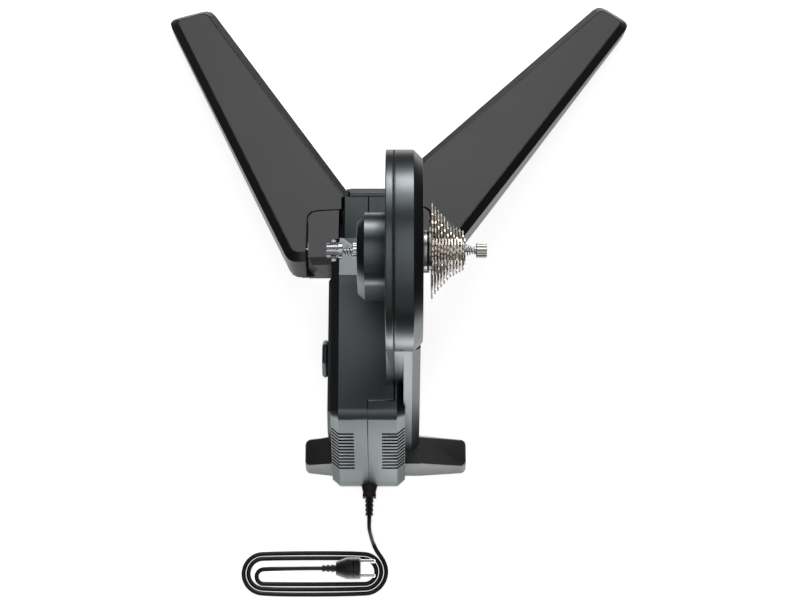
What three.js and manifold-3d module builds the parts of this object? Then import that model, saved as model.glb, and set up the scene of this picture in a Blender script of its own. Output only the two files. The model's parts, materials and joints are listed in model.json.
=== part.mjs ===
// A direct drive indoor bike trainer, in millimetres, +Z up.
// +X runs along the wheel axle to the cassette side, +Y forwards, and the floor is Z = 0.
import * as THREE from 'three';
import * as BufferGeometryUtils from 'three/addons/utils/BufferGeometryUtils.js';
import Module from 'manifold-3d';

const wasm = await Module();
wasm.setup();

// Clearances and drawing fineness
const gap = 0.3; // between faces that seat on each other
const overrun = 2; // how far a cutter passes the face that it cuts
const discSides = 60;
const roundSides = 48;
const innerSides = 24; // of the rings hidden in the disc
const smallSides = 20;
const cogSides = 12; // of a cog's bore, and of small turned pieces
const cornerSteps = 3;
const starSteps = 4; // corners of each knurl or spline
const mergeTolerance = 1e-4;

// The wheel axle: its centre line, and the width between the frame ends that it fits
const axle = {
  y: -146, z: 338, width: 135, radius: 7.5, bore: 3.4, capLength: 4.9, capRadius: 9.5, knurls: 11,
  knurlDepth: 0.6,
};
const farReach = axle.z + axle.z; // past the ends of the part, for cutters

// Places along the tail are given from the axle
function fromAxle(places) {
  return Object.fromEntries(Object.entries(places).map(([name, y]) => [name, axle.y + y]));
}

// The disc that houses the motor
const disc = {
  radius: 121, leftX: -17, seamX: -7.1, rightX: 27, chamfer: 11, edge: 1, rimWall: 4, faceWall: 4,
};
const spigot = { radius: 44.5, rightX: 5 };

// The rotor, magnets, stator and bearings inside the disc
const rotor = {
  clearance: 4, rimThick: 13, leftX: -10, webX: 12.5, webThick: 5, hubRadius: 20, hubBore: 15.3,
  hubRightX: 27.2,
};
rotor.radius = disc.radius - disc.rimWall - rotor.clearance;
rotor.rimInner = rotor.radius - rotor.rimThick;
const magnets = { thick: 2.8, leftX: -9, rightX: 11 };
magnets.outer = rotor.rimInner - gap;
magnets.inner = magnets.outer - magnets.thick;
const stator = { airGap: 0.6, yokeThick: 17.2, leftX: -9, rightX: 10, teeth: 18, toothShare: 0.62 };
stator.outer = magnets.inner * Math.cos(Math.PI / innerSides) - stator.airGap;
stator.inner = spigot.radius + gap;
stator.yoke = stator.inner + stator.yokeThick;
const bearing = { outer: 15, inner: 7.8, width: 6.5, firstX: 13, secondX: 20.2 };
const hubFlange = { radius: 24.5, inner: 8.2, leftX: rotor.hubRightX + gap, thick: 7, neckRadius: 14 };
hubFlange.rightX = hubFlange.leftX + hubFlange.thick;

// The freehub and the cassette
const freehub = {
  radius: 16.3, splineDepth: 0.8, splines: 7, bore: 8.2, leftX: hubFlange.rightX + gap + gap,
  collarRadius: 24, collarThick: 2,
};
const cassette = {
  teeth: [28, 25, 23, 21, 19, 17, 15, 14, 13, 12, 11], firstX: freehub.leftX + freehub.collarThick + gap,
  pitch: 3.7, thickness: 1.8, spacer: 18.3, chainPitch: 12.7, tip: 1.7, seatDepth: 3.9, tipShare: 0.22,
  seatShare: 0.34, bore: 16.6,
};
cassette.lastX = cassette.firstX + (cassette.teeth.length - 1) * cassette.pitch + cassette.thickness;
const lockring = { outer: 17, inner: 11, thickness: 1.7, notches: 9, notchDepth: 1.2 };

// The axle ends just past the lockring, and its width sets the other end
axle.rightX = cassette.lastX + gap + lockring.thickness + gap;
axle.leftX = axle.rightX - axle.width;
axle.tubeLeftX = axle.leftX + axle.capLength + gap;
axle.tubeRightX = axle.rightX - axle.capLength - gap;
const hubBoss = { radius: 45, drop: 43, leftX: axle.tubeLeftX + gap, chamfer: 9, inset: 8 };

// The quick release
const camHousing = {
  springRoom: 12.7, flangeThick: 2.6, length: 16.2, radius: 9.2, ribs: 10, ribDepth: 1.3, flangeRadius: 9.8,
};
camHousing.flangeRightX = axle.leftX - camHousing.springRoom;
camHousing.rightX = camHousing.flangeRightX - camHousing.flangeThick;
camHousing.leftX = camHousing.rightX - camHousing.length;
const rod = { radius: 2.5, seat: 4.5, bore: 2.8 };
rod.leftX = camHousing.rightX - rod.seat;
const camPin = { fromEnd: 8.3, radius: 2.4, half: 13.6, tilt: THREE.MathUtils.degToRad(20) };
camPin.x = camHousing.leftX + camPin.fromEnd;
const lever = {
  armThick: 2.2, armWidth: 8, armGap: 1, reach: 15, length: 50, bladeWidth: 22, bladeThick: 4.5, fillet: 2,
};
const thumbNut = {
  springRoom: 10.4, length: 15.1, radius: 9.2, neckRadius: 5, neckLength: 2.5, knurls: 11, knurlDepth: 0.6,
  wall: 2.5,
};
thumbNut.leftX = axle.rightX + thumbNut.springRoom;
thumbNut.rightX = thumbNut.leftX + thumbNut.length;
const coneSpring = { wire: 0.55, small: 3.9, large: 7.4, turns: 3, sides: 5, stepsPerTurn: 7 };

// The tail body
const body = {
  leftX: -88, rightX: 6.5, seamX: -41, chamferX: 10, chamferZ: 8, wall: 4, rearLipZ: 38, rearLip: 2.5,
  bottomZ: 20, ventTopZ: 170, crestRearZ: 172, crestZ: 179, shoulderZ: 168, stepZ: 105,
  ...fromAxle({ rearY: -210.5, ventTopY: -156, crestRearY: 16, crestY: 29, shoulderY: 84, stepY: 50 }),
};
const nose = {
  leftX: -73, rightX: 25, topZ: 168, brow: 22, bevel: 1.5, ...fromAxle({ frontY: 150, topFrontY: 142 }),
};
const neck = { sink: 25, ...fromAxle({ rearY: -116, frontY: 116 }) };
const pylon = {
  rightX: 25, chamfer: 10, rearTopZ: 297, rearFootZ: 45, ...fromAxle({ rearTopY: -114, rearFootY: -165 }),
};
const seam = fromAxle({ rearY: -135.6, frontY: 118 });
const skirt = { leftX: -93, topZ: 128, slope: 22, bottomZ: 24, ...fromAxle({ rearY: -160, frontY: 45 }) };
const sideCap = { radius: 26, thickness: 8, z: 88, bevel: 2.5, ...fromAxle({ y: -54 }) };
const vent = { count: 12, pitch: 6.4, height: 3.3, depth: 6, topDrop: 37, innerX: 24, frontRun: 14 };

// The rear foot
const foot = {
  leftX: -125, rightX: 87, bottomZ: 8, topZ: 40, bodyLeftX: -90, bodyRightX: 26, endTopZ: 27, topInset: 9,
  topRise: 6, underInset: 6, endInset: 14, endRound: 7, notch: 0.8, padHeight: 7.7, padWidth: 34, padLength: 22,
  padInset: 6, padRound: 5,
  ...fromAxle({ frontY: -134, rearY: -199.5 }),
};

// The base casting inside the body, and the bridge across its front
const frameBeam = {
  leftX: -62, rightX: -20, bottomZ: foot.topZ, topZ: 74, ...fromAxle({ rearY: -190, frontY: 60 }),
};
const crossBeam = {
  leftX: -88.2, rightX: 25, bottomZ: 62, shelfTopZ: 84, ...fromAxle({ rearY: 56, frontY: 149, shelfY: 176 }),
};
const bridge = { leftX: -66, rightX: 25, topZ: 150, bevel: 5, ...fromAxle({ frontY: 166 }) };

// Wings: the plane of each top face is set by a point on its hinge axis, its heading and its fall
const wingFall = THREE.MathUtils.degToRad(15.9);
const foldedLean = THREE.MathUtils.degToRad(75);
const wing = {
  rootDepth: 50, tipDepth: 20, rim: 5, skin: 5, bevelIn: 10, bevelDrop: 7, tipRound: 14, rootRound: 14,
  panelInset: 0.8, panelDepth: 1.2, rimLine: 0.5, pocketRows: 6, pocketRib: 4, padLength: 46, padInset: 9,
  noseGap: 4, bridgeGap: 1.5,
};
const leftWing = {
  side: -1, heading: THREE.MathUtils.degToRad(27.7), pivotX: -121, pivotZ: 148,
  ...fromAxle({ pivotY: 113.6, blockRearY: 50 }),
  tipOuter: 17.4, tipInner: 44, tipOuterAt: 439, tipInnerAt: 424,
  rootOuter: 47.3, rootOuterAt: -40, rootInner: 68.4, rootInnerAt: 27.1, innerRun: 130, pocketsFrom: 40,
  pinAt: -38,
};
const rightWing = {
  side: 1, heading: THREE.MathUtils.degToRad(37.3), pivotX: 39, pivotZ: 160.7,
  ...fromAxle({ pivotY: 111.6, blockRearY: 58 }),
  tipOuter: 12.8, tipInner: 40.8, tipOuterAt: 482.4, tipInnerAt: 480,
  rootOuter: 49.8, rootOuterAt: -32, rootInner: 68.9, rootInnerAt: 82, innerRun: 220, pocketsFrom: 90,
  pinAt: -39,
};
const hinge = {
  pinHalf: 14.5, pinRadius: 3.5, barrel: 7, lugHalf: 8, slotHalf: 8.6, barrelEnd: 1, slotWall: 2,
  armWidth: 7, armInner: 5.5, armDrop: 54, armFoot: 14, armReach: 60, slotReach: 66, slotSkin: 5,
};
const hingeBlock = {
  wingGap: 1.2, coverDepth: 3, bottomZ: 78, ledge: 12, coneMargin: THREE.MathUtils.degToRad(0.8),
  coneLength: 110, coneTip: 1.5, cornerRound: 14, roundShare: 0.9, noseGap: 7, ...fromAxle({ frontY: 131 }),
};

// Electronics in the tail
const board = {
  leftX: -80, rightX: -46, bottomZ: 110, thickness: 1.6, chips: 4, chip: 12, chipHeight: 5, pillar: 6,
  ...fromAxle({ rearY: -128, frontY: -30 }),
};
const supply = {
  leftX: -36, rightX: -4, height: 36, fin: 3, fins: 8, ...fromAxle({ rearY: -128, frontY: -20 }),
};
const supplyBottomZ = frameBeam.topZ + gap;
const supplyTopZ = supplyBottomZ + supply.height;

// The mains inlet, connector, lead and plug
const inlet = {
  x: -40, z: 32, width: 22, height: 12, depth: 16, wall: 2, pin: 1.2, pinGap: 4.2, pinLength: 9,
  ...fromAxle({ rearY: -208.5 }),
};
const connector = {
  width: 21.5, endWidth: 15.5, height: 12, length: 13, collarWidth: 17.5, collarHeight: 11.5,
  collarLength: 4.5, corner: 2, reliefRadius: 5.5, reliefEnd: 4.9, reliefLength: 24, ribs: 4, ribShare: 0.55, ribDepth: 0.8,
};
const lead = { radius: 2.8, sides: 8, steps: 14 };
const leadRoute = [[-40, -411.5, 29], [-38, -420, 20], [-34.5, -429, 10], [-30.5, -436.5, 4.6]];
// The loops of the lead lie flat on the floor as one spiral of long round-ended turns
const bundle = {
  centreX: -112.5, centreY: -465, outerRadius: 31, straight: 130, pitch: 6.4, startAngle: Math.PI / 6,
  loops: 3,
  endSteps: 9, sides: 6, lastRise: 3, lastStraight: 12,
};
const plug = {
  reliefX: -101, reliefLength: 18, reliefRadius: 5.2, reliefEnd: 4.2, ribs: 3, ribShare: 0.55,
  ribDepth: 0.9, backRadius: 9,
  backLength: 14, radius: 14, bodyLength: 32, edge: 1.5, pinLength: 19, pinRadius: 2.4, pinSpacing: 19,
  pinSides: 8,
};

// Finishes
const shellGrey = new THREE.MeshStandardMaterial({ color: 0x4a5155, roughness: 0.42, metalness: 0.15 });
const wingBlack = new THREE.MeshStandardMaterial({ color: 0x1d1e1f, roughness: 0.5, metalness: 0.1 });
const panelGrey = new THREE.MeshStandardMaterial({ color: 0x4b4c4e, roughness: 0.6, metalness: 0.1 });
const castBlack = new THREE.MeshStandardMaterial({ color: 0x2a2c2d, roughness: 0.6, metalness: 0.4 });
const steel = new THREE.MeshStandardMaterial({ color: 0xb9bbbd, roughness: 0.3, metalness: 0.95 });
const nickel = new THREE.MeshStandardMaterial({ color: 0xc8bfa8, roughness: 0.32, metalness: 0.9 });
const darkMetal = new THREE.MeshStandardMaterial({ color: 0x3a3a3a, roughness: 0.35, metalness: 0.8 });
const rubber = new THREE.MeshStandardMaterial({ color: 0x161616, roughness: 0.85, metalness: 0 });
const copper = new THREE.MeshStandardMaterial({ color: 0xa8683a, roughness: 0.4, metalness: 0.8 });
const boardGreen = new THREE.MeshStandardMaterial({ color: 0x1f5a38, roughness: 0.6, metalness: 0.1 });
const cableBlack = new THREE.MeshStandardMaterial({ color: 0x141414, roughness: 0.55, metalness: 0 });

const trainer = new THREE.Group();

// Geometry helpers
function solidFrom(geometry) {
  const bare = geometry.clone();
  bare.deleteAttribute('normal');
  bare.deleteAttribute('uv');
  const merged = BufferGeometryUtils.mergeVertices(bare, mergeTolerance);
  const places = merged.attributes.position.array;
  const corners = [];
  for (let i = 0; i < merged.index.count; i += 3) {
    const [a, b, c] = merged.index.array.slice(i, i + 3);
    if (a !== b && b !== c && c !== a) corners.push(a, b, c);
  }
  if (signedVolume(places, corners) < 0) corners.reverse();
  const mesh = new wasm.Mesh({
    numProp: 3, vertProperties: new Float32Array(places), triVerts: new Uint32Array(corners),
  });
  mesh.merge();
  return new wasm.Manifold(mesh);
}

function signedVolume(places, corners) {
  const at = (i) => new THREE.Vector3().fromArray(places, 3 * i);
  let volume = 0;
  for (let i = 0; i < corners.length; i += 3) {
    volume += at(corners[i]).dot(at(corners[i + 1]).cross(at(corners[i + 2])));
  }
  return volume;
}

function geometryFrom(solid) {
  const mesh = solid.getMesh();
  const geometry = new THREE.BufferGeometry();
  geometry.setAttribute('position', new THREE.BufferAttribute(mesh.vertProperties, 3));
  geometry.setIndex(new THREE.BufferAttribute(mesh.triVerts, 1));
  return geometry;
}

function addPiece(name, solid, material, parent = trainer) {
  const geometry = solid.isBufferGeometry ? solid : geometryFrom(solid);
  geometry.computeVertexNormals();
  const mesh = new THREE.Mesh(geometry, material);
  mesh.name = name;
  parent.add(mesh);
  return mesh;
}

function outline(points) {
  return new THREE.Shape(points.map(([x, y]) => new THREE.Vector2(x, y)));
}

// Corners are [x, y, radius]: a corner with a radius is rounded
function roundedOutline(corners) {
  const shape = new THREE.Shape();
  const count = corners.length;
  corners.forEach(([x, y, radius = 0], i) => {
    const here = new THREE.Vector2(x, y);
    const towards = (other) => new THREE.Vector2(...corners[other].slice(0,
      2)).sub(here).setLength(radius).add(here);
    const before = towards((i + count - 1) % count);
    const after = towards((i + 1) % count);
    if (i === 0) shape.moveTo(before.x, before.y);
    else shape.lineTo(before.x, before.y);
    if (radius > 0) shape.quadraticCurveTo(x, y, after.x, after.y);
  });
  shape.closePath();
  return shape;
}

function extrude(shape, depth, options = {}) {
  return new THREE.ExtrudeGeometry(shape, { depth, bevelEnabled: false, curveSegments: cornerSteps,
    ...options });
}

// A bevel of the given run along the extrusion and drop across it, inside the outline and the length
function bevelled(shape, depth, run, drop) {
  const geometry = extrude(shape, depth - run - run, {
    bevelEnabled: true, bevelSegments: 1, bevelThickness: run, bevelSize: drop, bevelOffset: -drop,
  });
  return geometry.translate(0, 0, run);
}

// Turns a drawing of (Y, Z) with depth along X into its place
function alongX(geometry, fromX) {
  const axes = new THREE.Matrix4().makeBasis(
    new THREE.Vector3(0, 1, 0), new THREE.Vector3(0, 0, 1), new THREE.Vector3(1, 0, 0));
  return geometry.applyMatrix4(axes).translate(fromX, 0, 0);
}

function slabX(points, fromX, toX) {
  return solidFrom(alongX(extrude(outline(points), toX - fromX), fromX));
}

function slabZ(points, fromZ, toZ) {
  return solidFrom(extrude(outline(points), toZ - fromZ).translate(0, 0, fromZ));
}

function block(fromX, toX, fromY, toY, fromZ, toZ) {
  const geometry = new THREE.BoxGeometry(toX - fromX, toY - fromY, toZ - fromZ);
  return solidFrom(geometry.translate((fromX + toX) / 2, (fromY + toY) / 2, (fromZ + toZ) / 2));
}

// Profile points are [radius, x]; the profile closes on itself or starts and ends on the axis
function revolveGeometry(profile, sides = roundSides) {
  const points = profile.map(([radius, x]) => new THREE.Vector2(radius, x));
  return new THREE.LatheGeometry(points, sides).rotateZ(-Math.PI / 2);
}

function onAxle(geometry) {
  return geometry.translate(0, axle.y, axle.z);
}

function axleSolid(profile, sides = roundSides) {
  return solidFrom(onAxle(revolveGeometry(profile, sides)));
}

function plugX(radius, fromX, toX, sides = roundSides) {
  return axleSolid([[0, fromX], [radius, fromX], [radius, toX], [0, toX]], sides);
}

function ringX(inner, outer, fromX, toX, sides = roundSides) {
  return axleSolid([[inner, fromX], [outer, fromX], [outer, toX], [inner, toX], [inner, fromX]], sides);
}

// A loft through rings of equal point counts, closed at both ends
function loft(rings) {
  const count = rings[0].length;
  const places = rings.flat(2);
  const corners = [];
  for (let ring = 0; ring + 1 < rings.length; ring += 1) {
    for (let i = 0; i < count; i += 1) {
      const a = ring * count + i;
      const b = ring * count + (i + 1) % count;
      corners.push(a, b, a + count, b, b + count, a + count);
    }
  }
  const last = (rings.length - 1) * count;
  for (let i = 1; i + 1 < count; i += 1) {
    corners.push(0, i + 1, i, last, last + i, last + i + 1);
  }
  const geometry = new THREE.BufferGeometry();
  geometry.setAttribute('position', new THREE.Float32BufferAttribute(places, 3));
  geometry.setIndex(corners);
  return geometry;
}

// A convex plate below z = 0 with its edges bevelled at the top and at the bottom
function chamferedPlate(corners, depth, drop, inset) {
  const ring = (plan, z) => roundedOutline(plan).getPoints(cornerSteps).slice(0, -1).map(({ x, y }) => [x,
    y, z]);
  const inner = insetCorners(corners, inset);
  return loft([ring(inner, -depth), ring(corners, drop - depth), ring(corners, -drop), ring(inner, 0)]);
}

// Housing
function discShell(leftX, rightX) {
  const { radius, chamfer, edge } = disc;
  const whole = axleSolid([
    [0, disc.leftX], [radius - edge, disc.leftX], [radius, disc.leftX + edge],
    [radius, disc.rightX - chamfer], [radius - chamfer, disc.rightX], [0, disc.rightX],
  ], discSides);
  const reach = radius + overrun;
  return whole.intersect(block(leftX, rightX, axle.y - reach, axle.y + reach, axle.z - reach,
    axle.z + reach));
}

function discHollow() {
  const inner = disc.radius - disc.rimWall;
  return axleSolid([
    [0, disc.leftX + disc.faceWall], [inner, disc.leftX + disc.faceWall],
    [inner, disc.rightX - disc.chamfer - disc.faceWall / 2],
    [inner - disc.chamfer, disc.rightX - disc.faceWall], [0, disc.rightX - disc.faceWall],
  ]);
}

function bodyProfile(inset = 0) {
  return [
    [body.rearY + body.rearLip + inset, body.bottomZ + inset],
    [body.rearY + inset, body.rearLipZ],
    [body.ventTopY + inset, body.ventTopZ - inset],
    [body.crestRearY, body.crestRearZ - inset],
    [body.crestY, body.crestZ - inset],
    [body.shoulderY - inset, body.shoulderZ - inset],
    [body.shoulderY - inset, body.stepZ + inset],
    [body.stepY - inset, body.stepZ + inset],
    [body.stepY - inset, body.bottomZ + inset],
  ];
}

function tailBody() {
  const { leftX, rightX, chamferX, chamferZ } = body;
  return solidFrom(alongX(bevelled(outline(bodyProfile()), rightX - leftX, chamferX, chamferZ), leftX));
}

function tailHollow() {
  const { leftX, rightX, wall, chamferX, chamferZ } = body;
  const shape = outline(bodyProfile(wall));
  return solidFrom(alongX(bevelled(shape, rightX - leftX - wall - wall, chamferX, chamferZ), leftX + wall));
}

function noseBody() {
  const { leftX, rightX, frontY, topFrontY, topZ, brow, bevel } = nose;
  const shape = outline([
    [body.shoulderY - body.wall, body.stepZ], [frontY, body.stepZ], [frontY, topZ - brow], [topFrontY, topZ],
    [body.shoulderY - body.wall, topZ],
  ]);
  return solidFrom(alongX(bevelled(shape, rightX - leftX, bevel, bevel), leftX));
}

function leftNeck() {
  return slabX([
    [neck.rearY, body.ventTopZ - neck.sink], [neck.frontY, body.ventTopZ - neck.sink],
    [neck.frontY, axle.z - disc.radius / 4], [neck.rearY, axle.z - disc.radius / 4],
  ], disc.leftX, disc.seamX - gap / 2).subtract(plugX(disc.radius - disc.rimWall, disc.leftX - overrun,
  disc.rightX));
}

function rightPylon() {
  const shape = outline([
    [pylon.rearFootY, body.bottomZ], [pylon.rearFootY, pylon.rearFootZ], [pylon.rearTopY, pylon.rearTopZ],
    [neck.frontY, pylon.rearTopZ], [neck.frontY, body.shoulderZ], [body.stepY, body.shoulderZ],
    [body.stepY, body.bottomZ],
  ]);
  const startX = disc.seamX - pylon.chamfer - gap;
  const whole = solidFrom(alongX(bevelled(shape, pylon.rightX - startX, pylon.chamfer, pylon.chamfer),
    startX));
  const low = block(startX - overrun, disc.seamX + gap / 2, body.rearY, nose.frontY, 0, axle.z);
  const overBody = block(startX - overrun, body.rightX - body.wall / 2, body.rearY, neck.rearY, 0, axle.z);
  return whole.subtract(low).subtract(overBody)
    .subtract(plugX(disc.radius - disc.rimWall, disc.leftX, disc.rightX + overrun));
}

function pylonHollow() {
  const { wall } = body;
  const footY = pylon.rearFootY + wall + pylon.chamfer;
  return slabX([
    [footY, body.bottomZ + wall], [footY, pylon.rearFootZ], [axle.y - disc.radius, body.ventTopZ - wall],
    [body.stepY - wall, body.ventTopZ - wall],
    [body.stepY - wall, body.bottomZ + wall],
  ], body.rightX - wall - overrun, pylon.rightX - pylon.chamfer / 2);
}

// The plan of the left half of the body, which reaches to the disc between the two seam steps
function leftPlan(offset) {
  const farX = skirt.leftX - overrun;
  return [
    [farX, -farReach], [body.seamX + offset, -farReach], [body.seamX + offset, seam.rearY - offset],
    [disc.seamX + offset, seam.rearY - offset], [disc.seamX + offset, seam.frontY + offset],
    [body.seamX + offset, seam.frontY + offset], [body.seamX + offset, farReach], [farX, farReach],
  ];
}

function ventSlots() {
  const lean = Math.atan2(body.ventTopY - body.rearY, body.ventTopZ - body.rearLipZ);
  const { count, pitch, height, depth, topDrop, innerX, frontRun } = vent;
  let slots = null;
  for (let i = 0; i < count; i += 1) {
    const along = topDrop + i * pitch;
    const y = body.ventTopY - Math.sin(lean) * along;
    const z = body.ventTopZ - Math.cos(lean) * along;
    for (const edgeX of [body.leftX, body.rightX]) {
      const inward = edgeX === body.leftX ? 1 : -1;
      const face = edgeX + inward * (body.chamferX + innerX - depth / 2);
      const slot = solidFrom(new THREE.BoxGeometry(innerX - depth / 2, depth, height).rotateX(-lean)
        .translate(face - inward * innerX / 2, y, z));
      const side = solidFrom(new THREE.BoxGeometry(body.chamferX + overrun, frontRun, height).rotateX(-lean)
        .rotateZ(-inward * Math.atan2(body.chamferZ, body.chamferX))
        .translate(edgeX + inward * body.chamferX / 2, y + body.chamferZ / 2, z));
      const pair = slot.add(side);
      slots = slots ? slots.add(pair) : pair;
    }
  }
  return slots;
}

function skirtBody() {
  const { leftX, rearY, frontY, topZ, slope, bottomZ } = skirt;
  const shape = outline([[rearY, bottomZ], [rearY, topZ - slope], [rearY + slope, topZ], [frontY, topZ],
    [frontY, bottomZ]]);
  const inner = body.leftX + body.wall;
  return solidFrom(alongX(bevelled(shape, inner - leftX + body.wall, body.wall, body.wall), leftX))
    .subtract(block(inner, inner + disc.radius, rearY - overrun, frontY + overrun, 0, topZ + overrun));
}

function footNotch() {
  return block(skirt.leftX - overrun, pylon.rightX + overrun, foot.rearY - foot.notch,
    foot.frontY + foot.notch,
    -overrun, foot.topZ + gap);
}

// The opening in the front wall that the base casting comes out of
function beamPassage() {
  const { leftX, rightX, bottomZ, topZ } = frameBeam;
  return block(leftX - gap, rightX + gap, body.stepY - body.wall - overrun, body.stepY + overrun,
    bottomZ - gap, topZ + gap);
}

function inletPocket() {
  const halfX = inlet.width / 2 + gap;
  const halfZ = inlet.height / 2 + gap;
  return block(inlet.x - halfX, inlet.x + halfX, body.rearY - overrun, inlet.rearY + inlet.depth + gap,
    inlet.z - halfZ, inlet.z + halfZ);
}

function buildHousing() {
  const shellBody = tailBody().add(noseBody());
  const leftShellBody = shellBody.add(skirtBody()).intersect(slabZ(leftPlan(-gap / 2), 0, axle.z));
  const rightShellBody = shellBody.subtract(slabZ(leftPlan(gap / 2), -overrun, axle.z));
  const bossShape = new THREE.Shape();
  bossShape.absarc(0, 0, hubBoss.radius, 0, Math.PI, false);
  bossShape.absarc(0, -hubBoss.drop, hubBoss.radius, Math.PI, 2 * Math.PI, false);
  const bossLength = disc.leftX + disc.faceWall - hubBoss.leftX + hubBoss.chamfer;
  const boss = solidFrom(alongX(bevelled(bossShape, bossLength, hubBoss.chamfer, hubBoss.inset)
    .translate(axle.y, axle.z, 0), hubBoss.leftX));
  const axleBore = plugX(axle.radius + gap, hubBoss.leftX - overrun, disc.rightX + overrun, smallSides);
  const hollow = tailHollow();
  const shared = [footNotch(), ventSlots(), beamPassage(), inletPocket()];

  let left = discShell(disc.leftX, disc.seamX - gap / 2).add(boss).subtract(discHollow());
  left = left.add(leftNeck()).add(leftShellBody.subtract(hollow));
  left = left.add(plugX(spigot.radius, disc.leftX + gap, spigot.rightX)).subtract(axleBore);
  for (const cutter of shared) left = left.subtract(cutter);
  addPiece('left_housing', left, shellGrey);

  let right = discShell(disc.seamX + gap / 2, disc.rightX).subtract(discHollow());
  right = right.add(rightPylon().subtract(pylonHollow())).add(rightShellBody);
  right = right.subtract(hollow).subtract(plugX(rotor.hubRadius + overrun, rotor.webX,
    disc.rightX + overrun));
  for (const cutter of shared) right = right.subtract(cutter);
  addPiece('right_housing', right, shellGrey);

  const cap = alongX(bevelled(new THREE.Shape().absarc(0, 0, sideCap.radius, 0, 2 * Math.PI),
    sideCap.thickness, sideCap.bevel,
    sideCap.bevel).translate(sideCap.y, sideCap.z, 0), skirt.leftX - sideCap.thickness - gap);
  addPiece('side_cap', solidFrom(cap), shellGrey);
}

// Wings and their hinges share one frame per side: origin on the hinge axis where it meets the top face,
// y towards the tip, z out of the top face
function wingFrame(spec) {
  const { side, heading, pivotX, pivotY, pivotZ } = spec;
  const towardsTip = new THREE.Vector3(side * Math.sin(heading) * Math.cos(wingFall),
    Math.cos(heading) * Math.cos(wingFall), -Math.sin(wingFall));
  const level = new THREE.Vector3(Math.cos(heading), -side * Math.sin(heading), 0);
  const up = new THREE.Vector3().crossVectors(level, towardsTip);
  const matrix = new THREE.Matrix4().makeBasis(level, towardsTip, up).setPosition(pivotX, pivotY, pivotZ);
  const foldedTip = new THREE.Vector3(0, Math.cos(foldedLean), Math.sin(foldedLean));
  const foldedUp = new THREE.Vector3(-side, 0, 0);
  const axis = new THREE.Vector3().crossVectors(foldedUp.clone().sub(up),
    foldedTip.clone().sub(towardsTip)).normalize();
  if (axis.y < 0) axis.negate();
  return { matrix, inverse: matrix.clone().invert(), axis, up, towardsTip, foldedTip, side };
}

// The hinge axis as a frame: x towards the folded face, y down, z along the axis
function hingeFrame(frame, at) {
  const along = frame.axis;
  const inward = new THREE.Vector3(-frame.side, 0, 0).addScaledVector(along,
    along.x * frame.side).normalize();
  const down = new THREE.Vector3().crossVectors(along, inward);
  if (down.z > 0) down.negate();
  const origin = new THREE.Vector3().setFromMatrixPosition(frame.matrix).addScaledVector(along, at);
  return new THREE.Matrix4().makeBasis(inward, down, along).setPosition(origin);
}

function hingeRod(frame, radius, fromAt, toAt) {
  const geometry = new THREE.CylinderGeometry(radius, radius, toAt - fromAt, smallSides).rotateX(Math.PI / 2);
  return solidFrom(geometry.applyMatrix4(hingeFrame(frame, (fromAt + toAt) / 2)));
}

// A slice square to the hinge axis, its outline drawn in (inward, down)
function hingeSlice(frame, at, points, half) {
  const geometry = extrude(outline(points), half + half).translate(0, 0, -half);
  return solidFrom(geometry.applyMatrix4(hingeFrame(frame, at)));
}

// A piece drawn in the frame of the wing, moved to its place
function placed(frame, geometry) {
  return solidFrom(geometry.applyMatrix4(frame.matrix));
}

// Moves every edge of an outline inwards; corners run so that the inside is on one side of each edge
function insetCorners(corners, inset) {
  const points = corners.map(([x, y]) => new THREE.Vector2(x, y));
  const turn = Math.sign(THREE.ShapeUtils.area(points));
  return corners.map(([, , radius], i) => {
    const before = points[(i + points.length - 1) % points.length];
    const here = points[i];
    const after = points[(i + 1) % points.length];
    const first = here.clone().sub(before).normalize();
    const second = after.clone().sub(here).normalize();
    const firstIn = new THREE.Vector2(-first.y, first.x).multiplyScalar(turn);
    const secondIn = new THREE.Vector2(-second.y, second.x).multiplyScalar(turn);
    const middle = firstIn.add(secondIn).normalize();
    const reach = inset / middle.dot(secondIn);
    return [here.x + middle.x * reach, here.y + middle.y * reach, Math.max(radius - inset / 2, 0)];
  });
}

// The outline of the wing before the still pieces are cut out of its root
function wingCorners(spec) {
  const innerSlope = (spec.rootInner - spec.tipInner) / (spec.tipInnerAt - spec.rootInnerAt);
  const innerEnd = spec.rootInner + innerSlope * spec.innerRun;
  return [
    [spec.side * spec.tipOuter, spec.tipOuterAt, wing.tipRound],
    [-spec.side * spec.tipInner, spec.tipInnerAt, wing.tipRound],
    [-spec.side * innerEnd, spec.rootInnerAt - spec.innerRun, 0],
    [spec.side * spec.rootOuter, spec.rootOuterAt, wing.rootRound],
  ];
}

// The plan of what stands still beside the wing: hinge block, nose and bridge, with the wing's own gap
function stillPlan(spec, room) {
  const { side } = spec;
  const faceX = spec.pivotX + side * room;
  const frontY = hingeBlock.frontY + room;
  const sideX = side < 0 ? nose.leftX - wing.noseGap : nose.rightX + wing.noseGap;
  const farX = -side * farReach;
  const round = Math.min(hingeBlock.cornerRound, Math.abs(sideX - faceX) * hingeBlock.roundShare);
  const corners = [[faceX, -farReach, 0], [faceX, frontY, round], [sideX, frontY, 0]];
  if (side < 0) {
    const bridgeX = bridge.leftX - wing.bridgeGap;
    const bridgeY = nose.frontY + wing.bridgeGap;
    corners.push([sideX, bridgeY, 0], [bridgeX, bridgeY, 0], [bridgeX, farReach, 0]);
  } else corners.push([sideX, farReach, 0]);
  corners.push([farX, farReach, 0], [farX, -farReach, 0]);
  return solidFrom(extrude(roundedOutline(corners), farReach));
}

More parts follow.
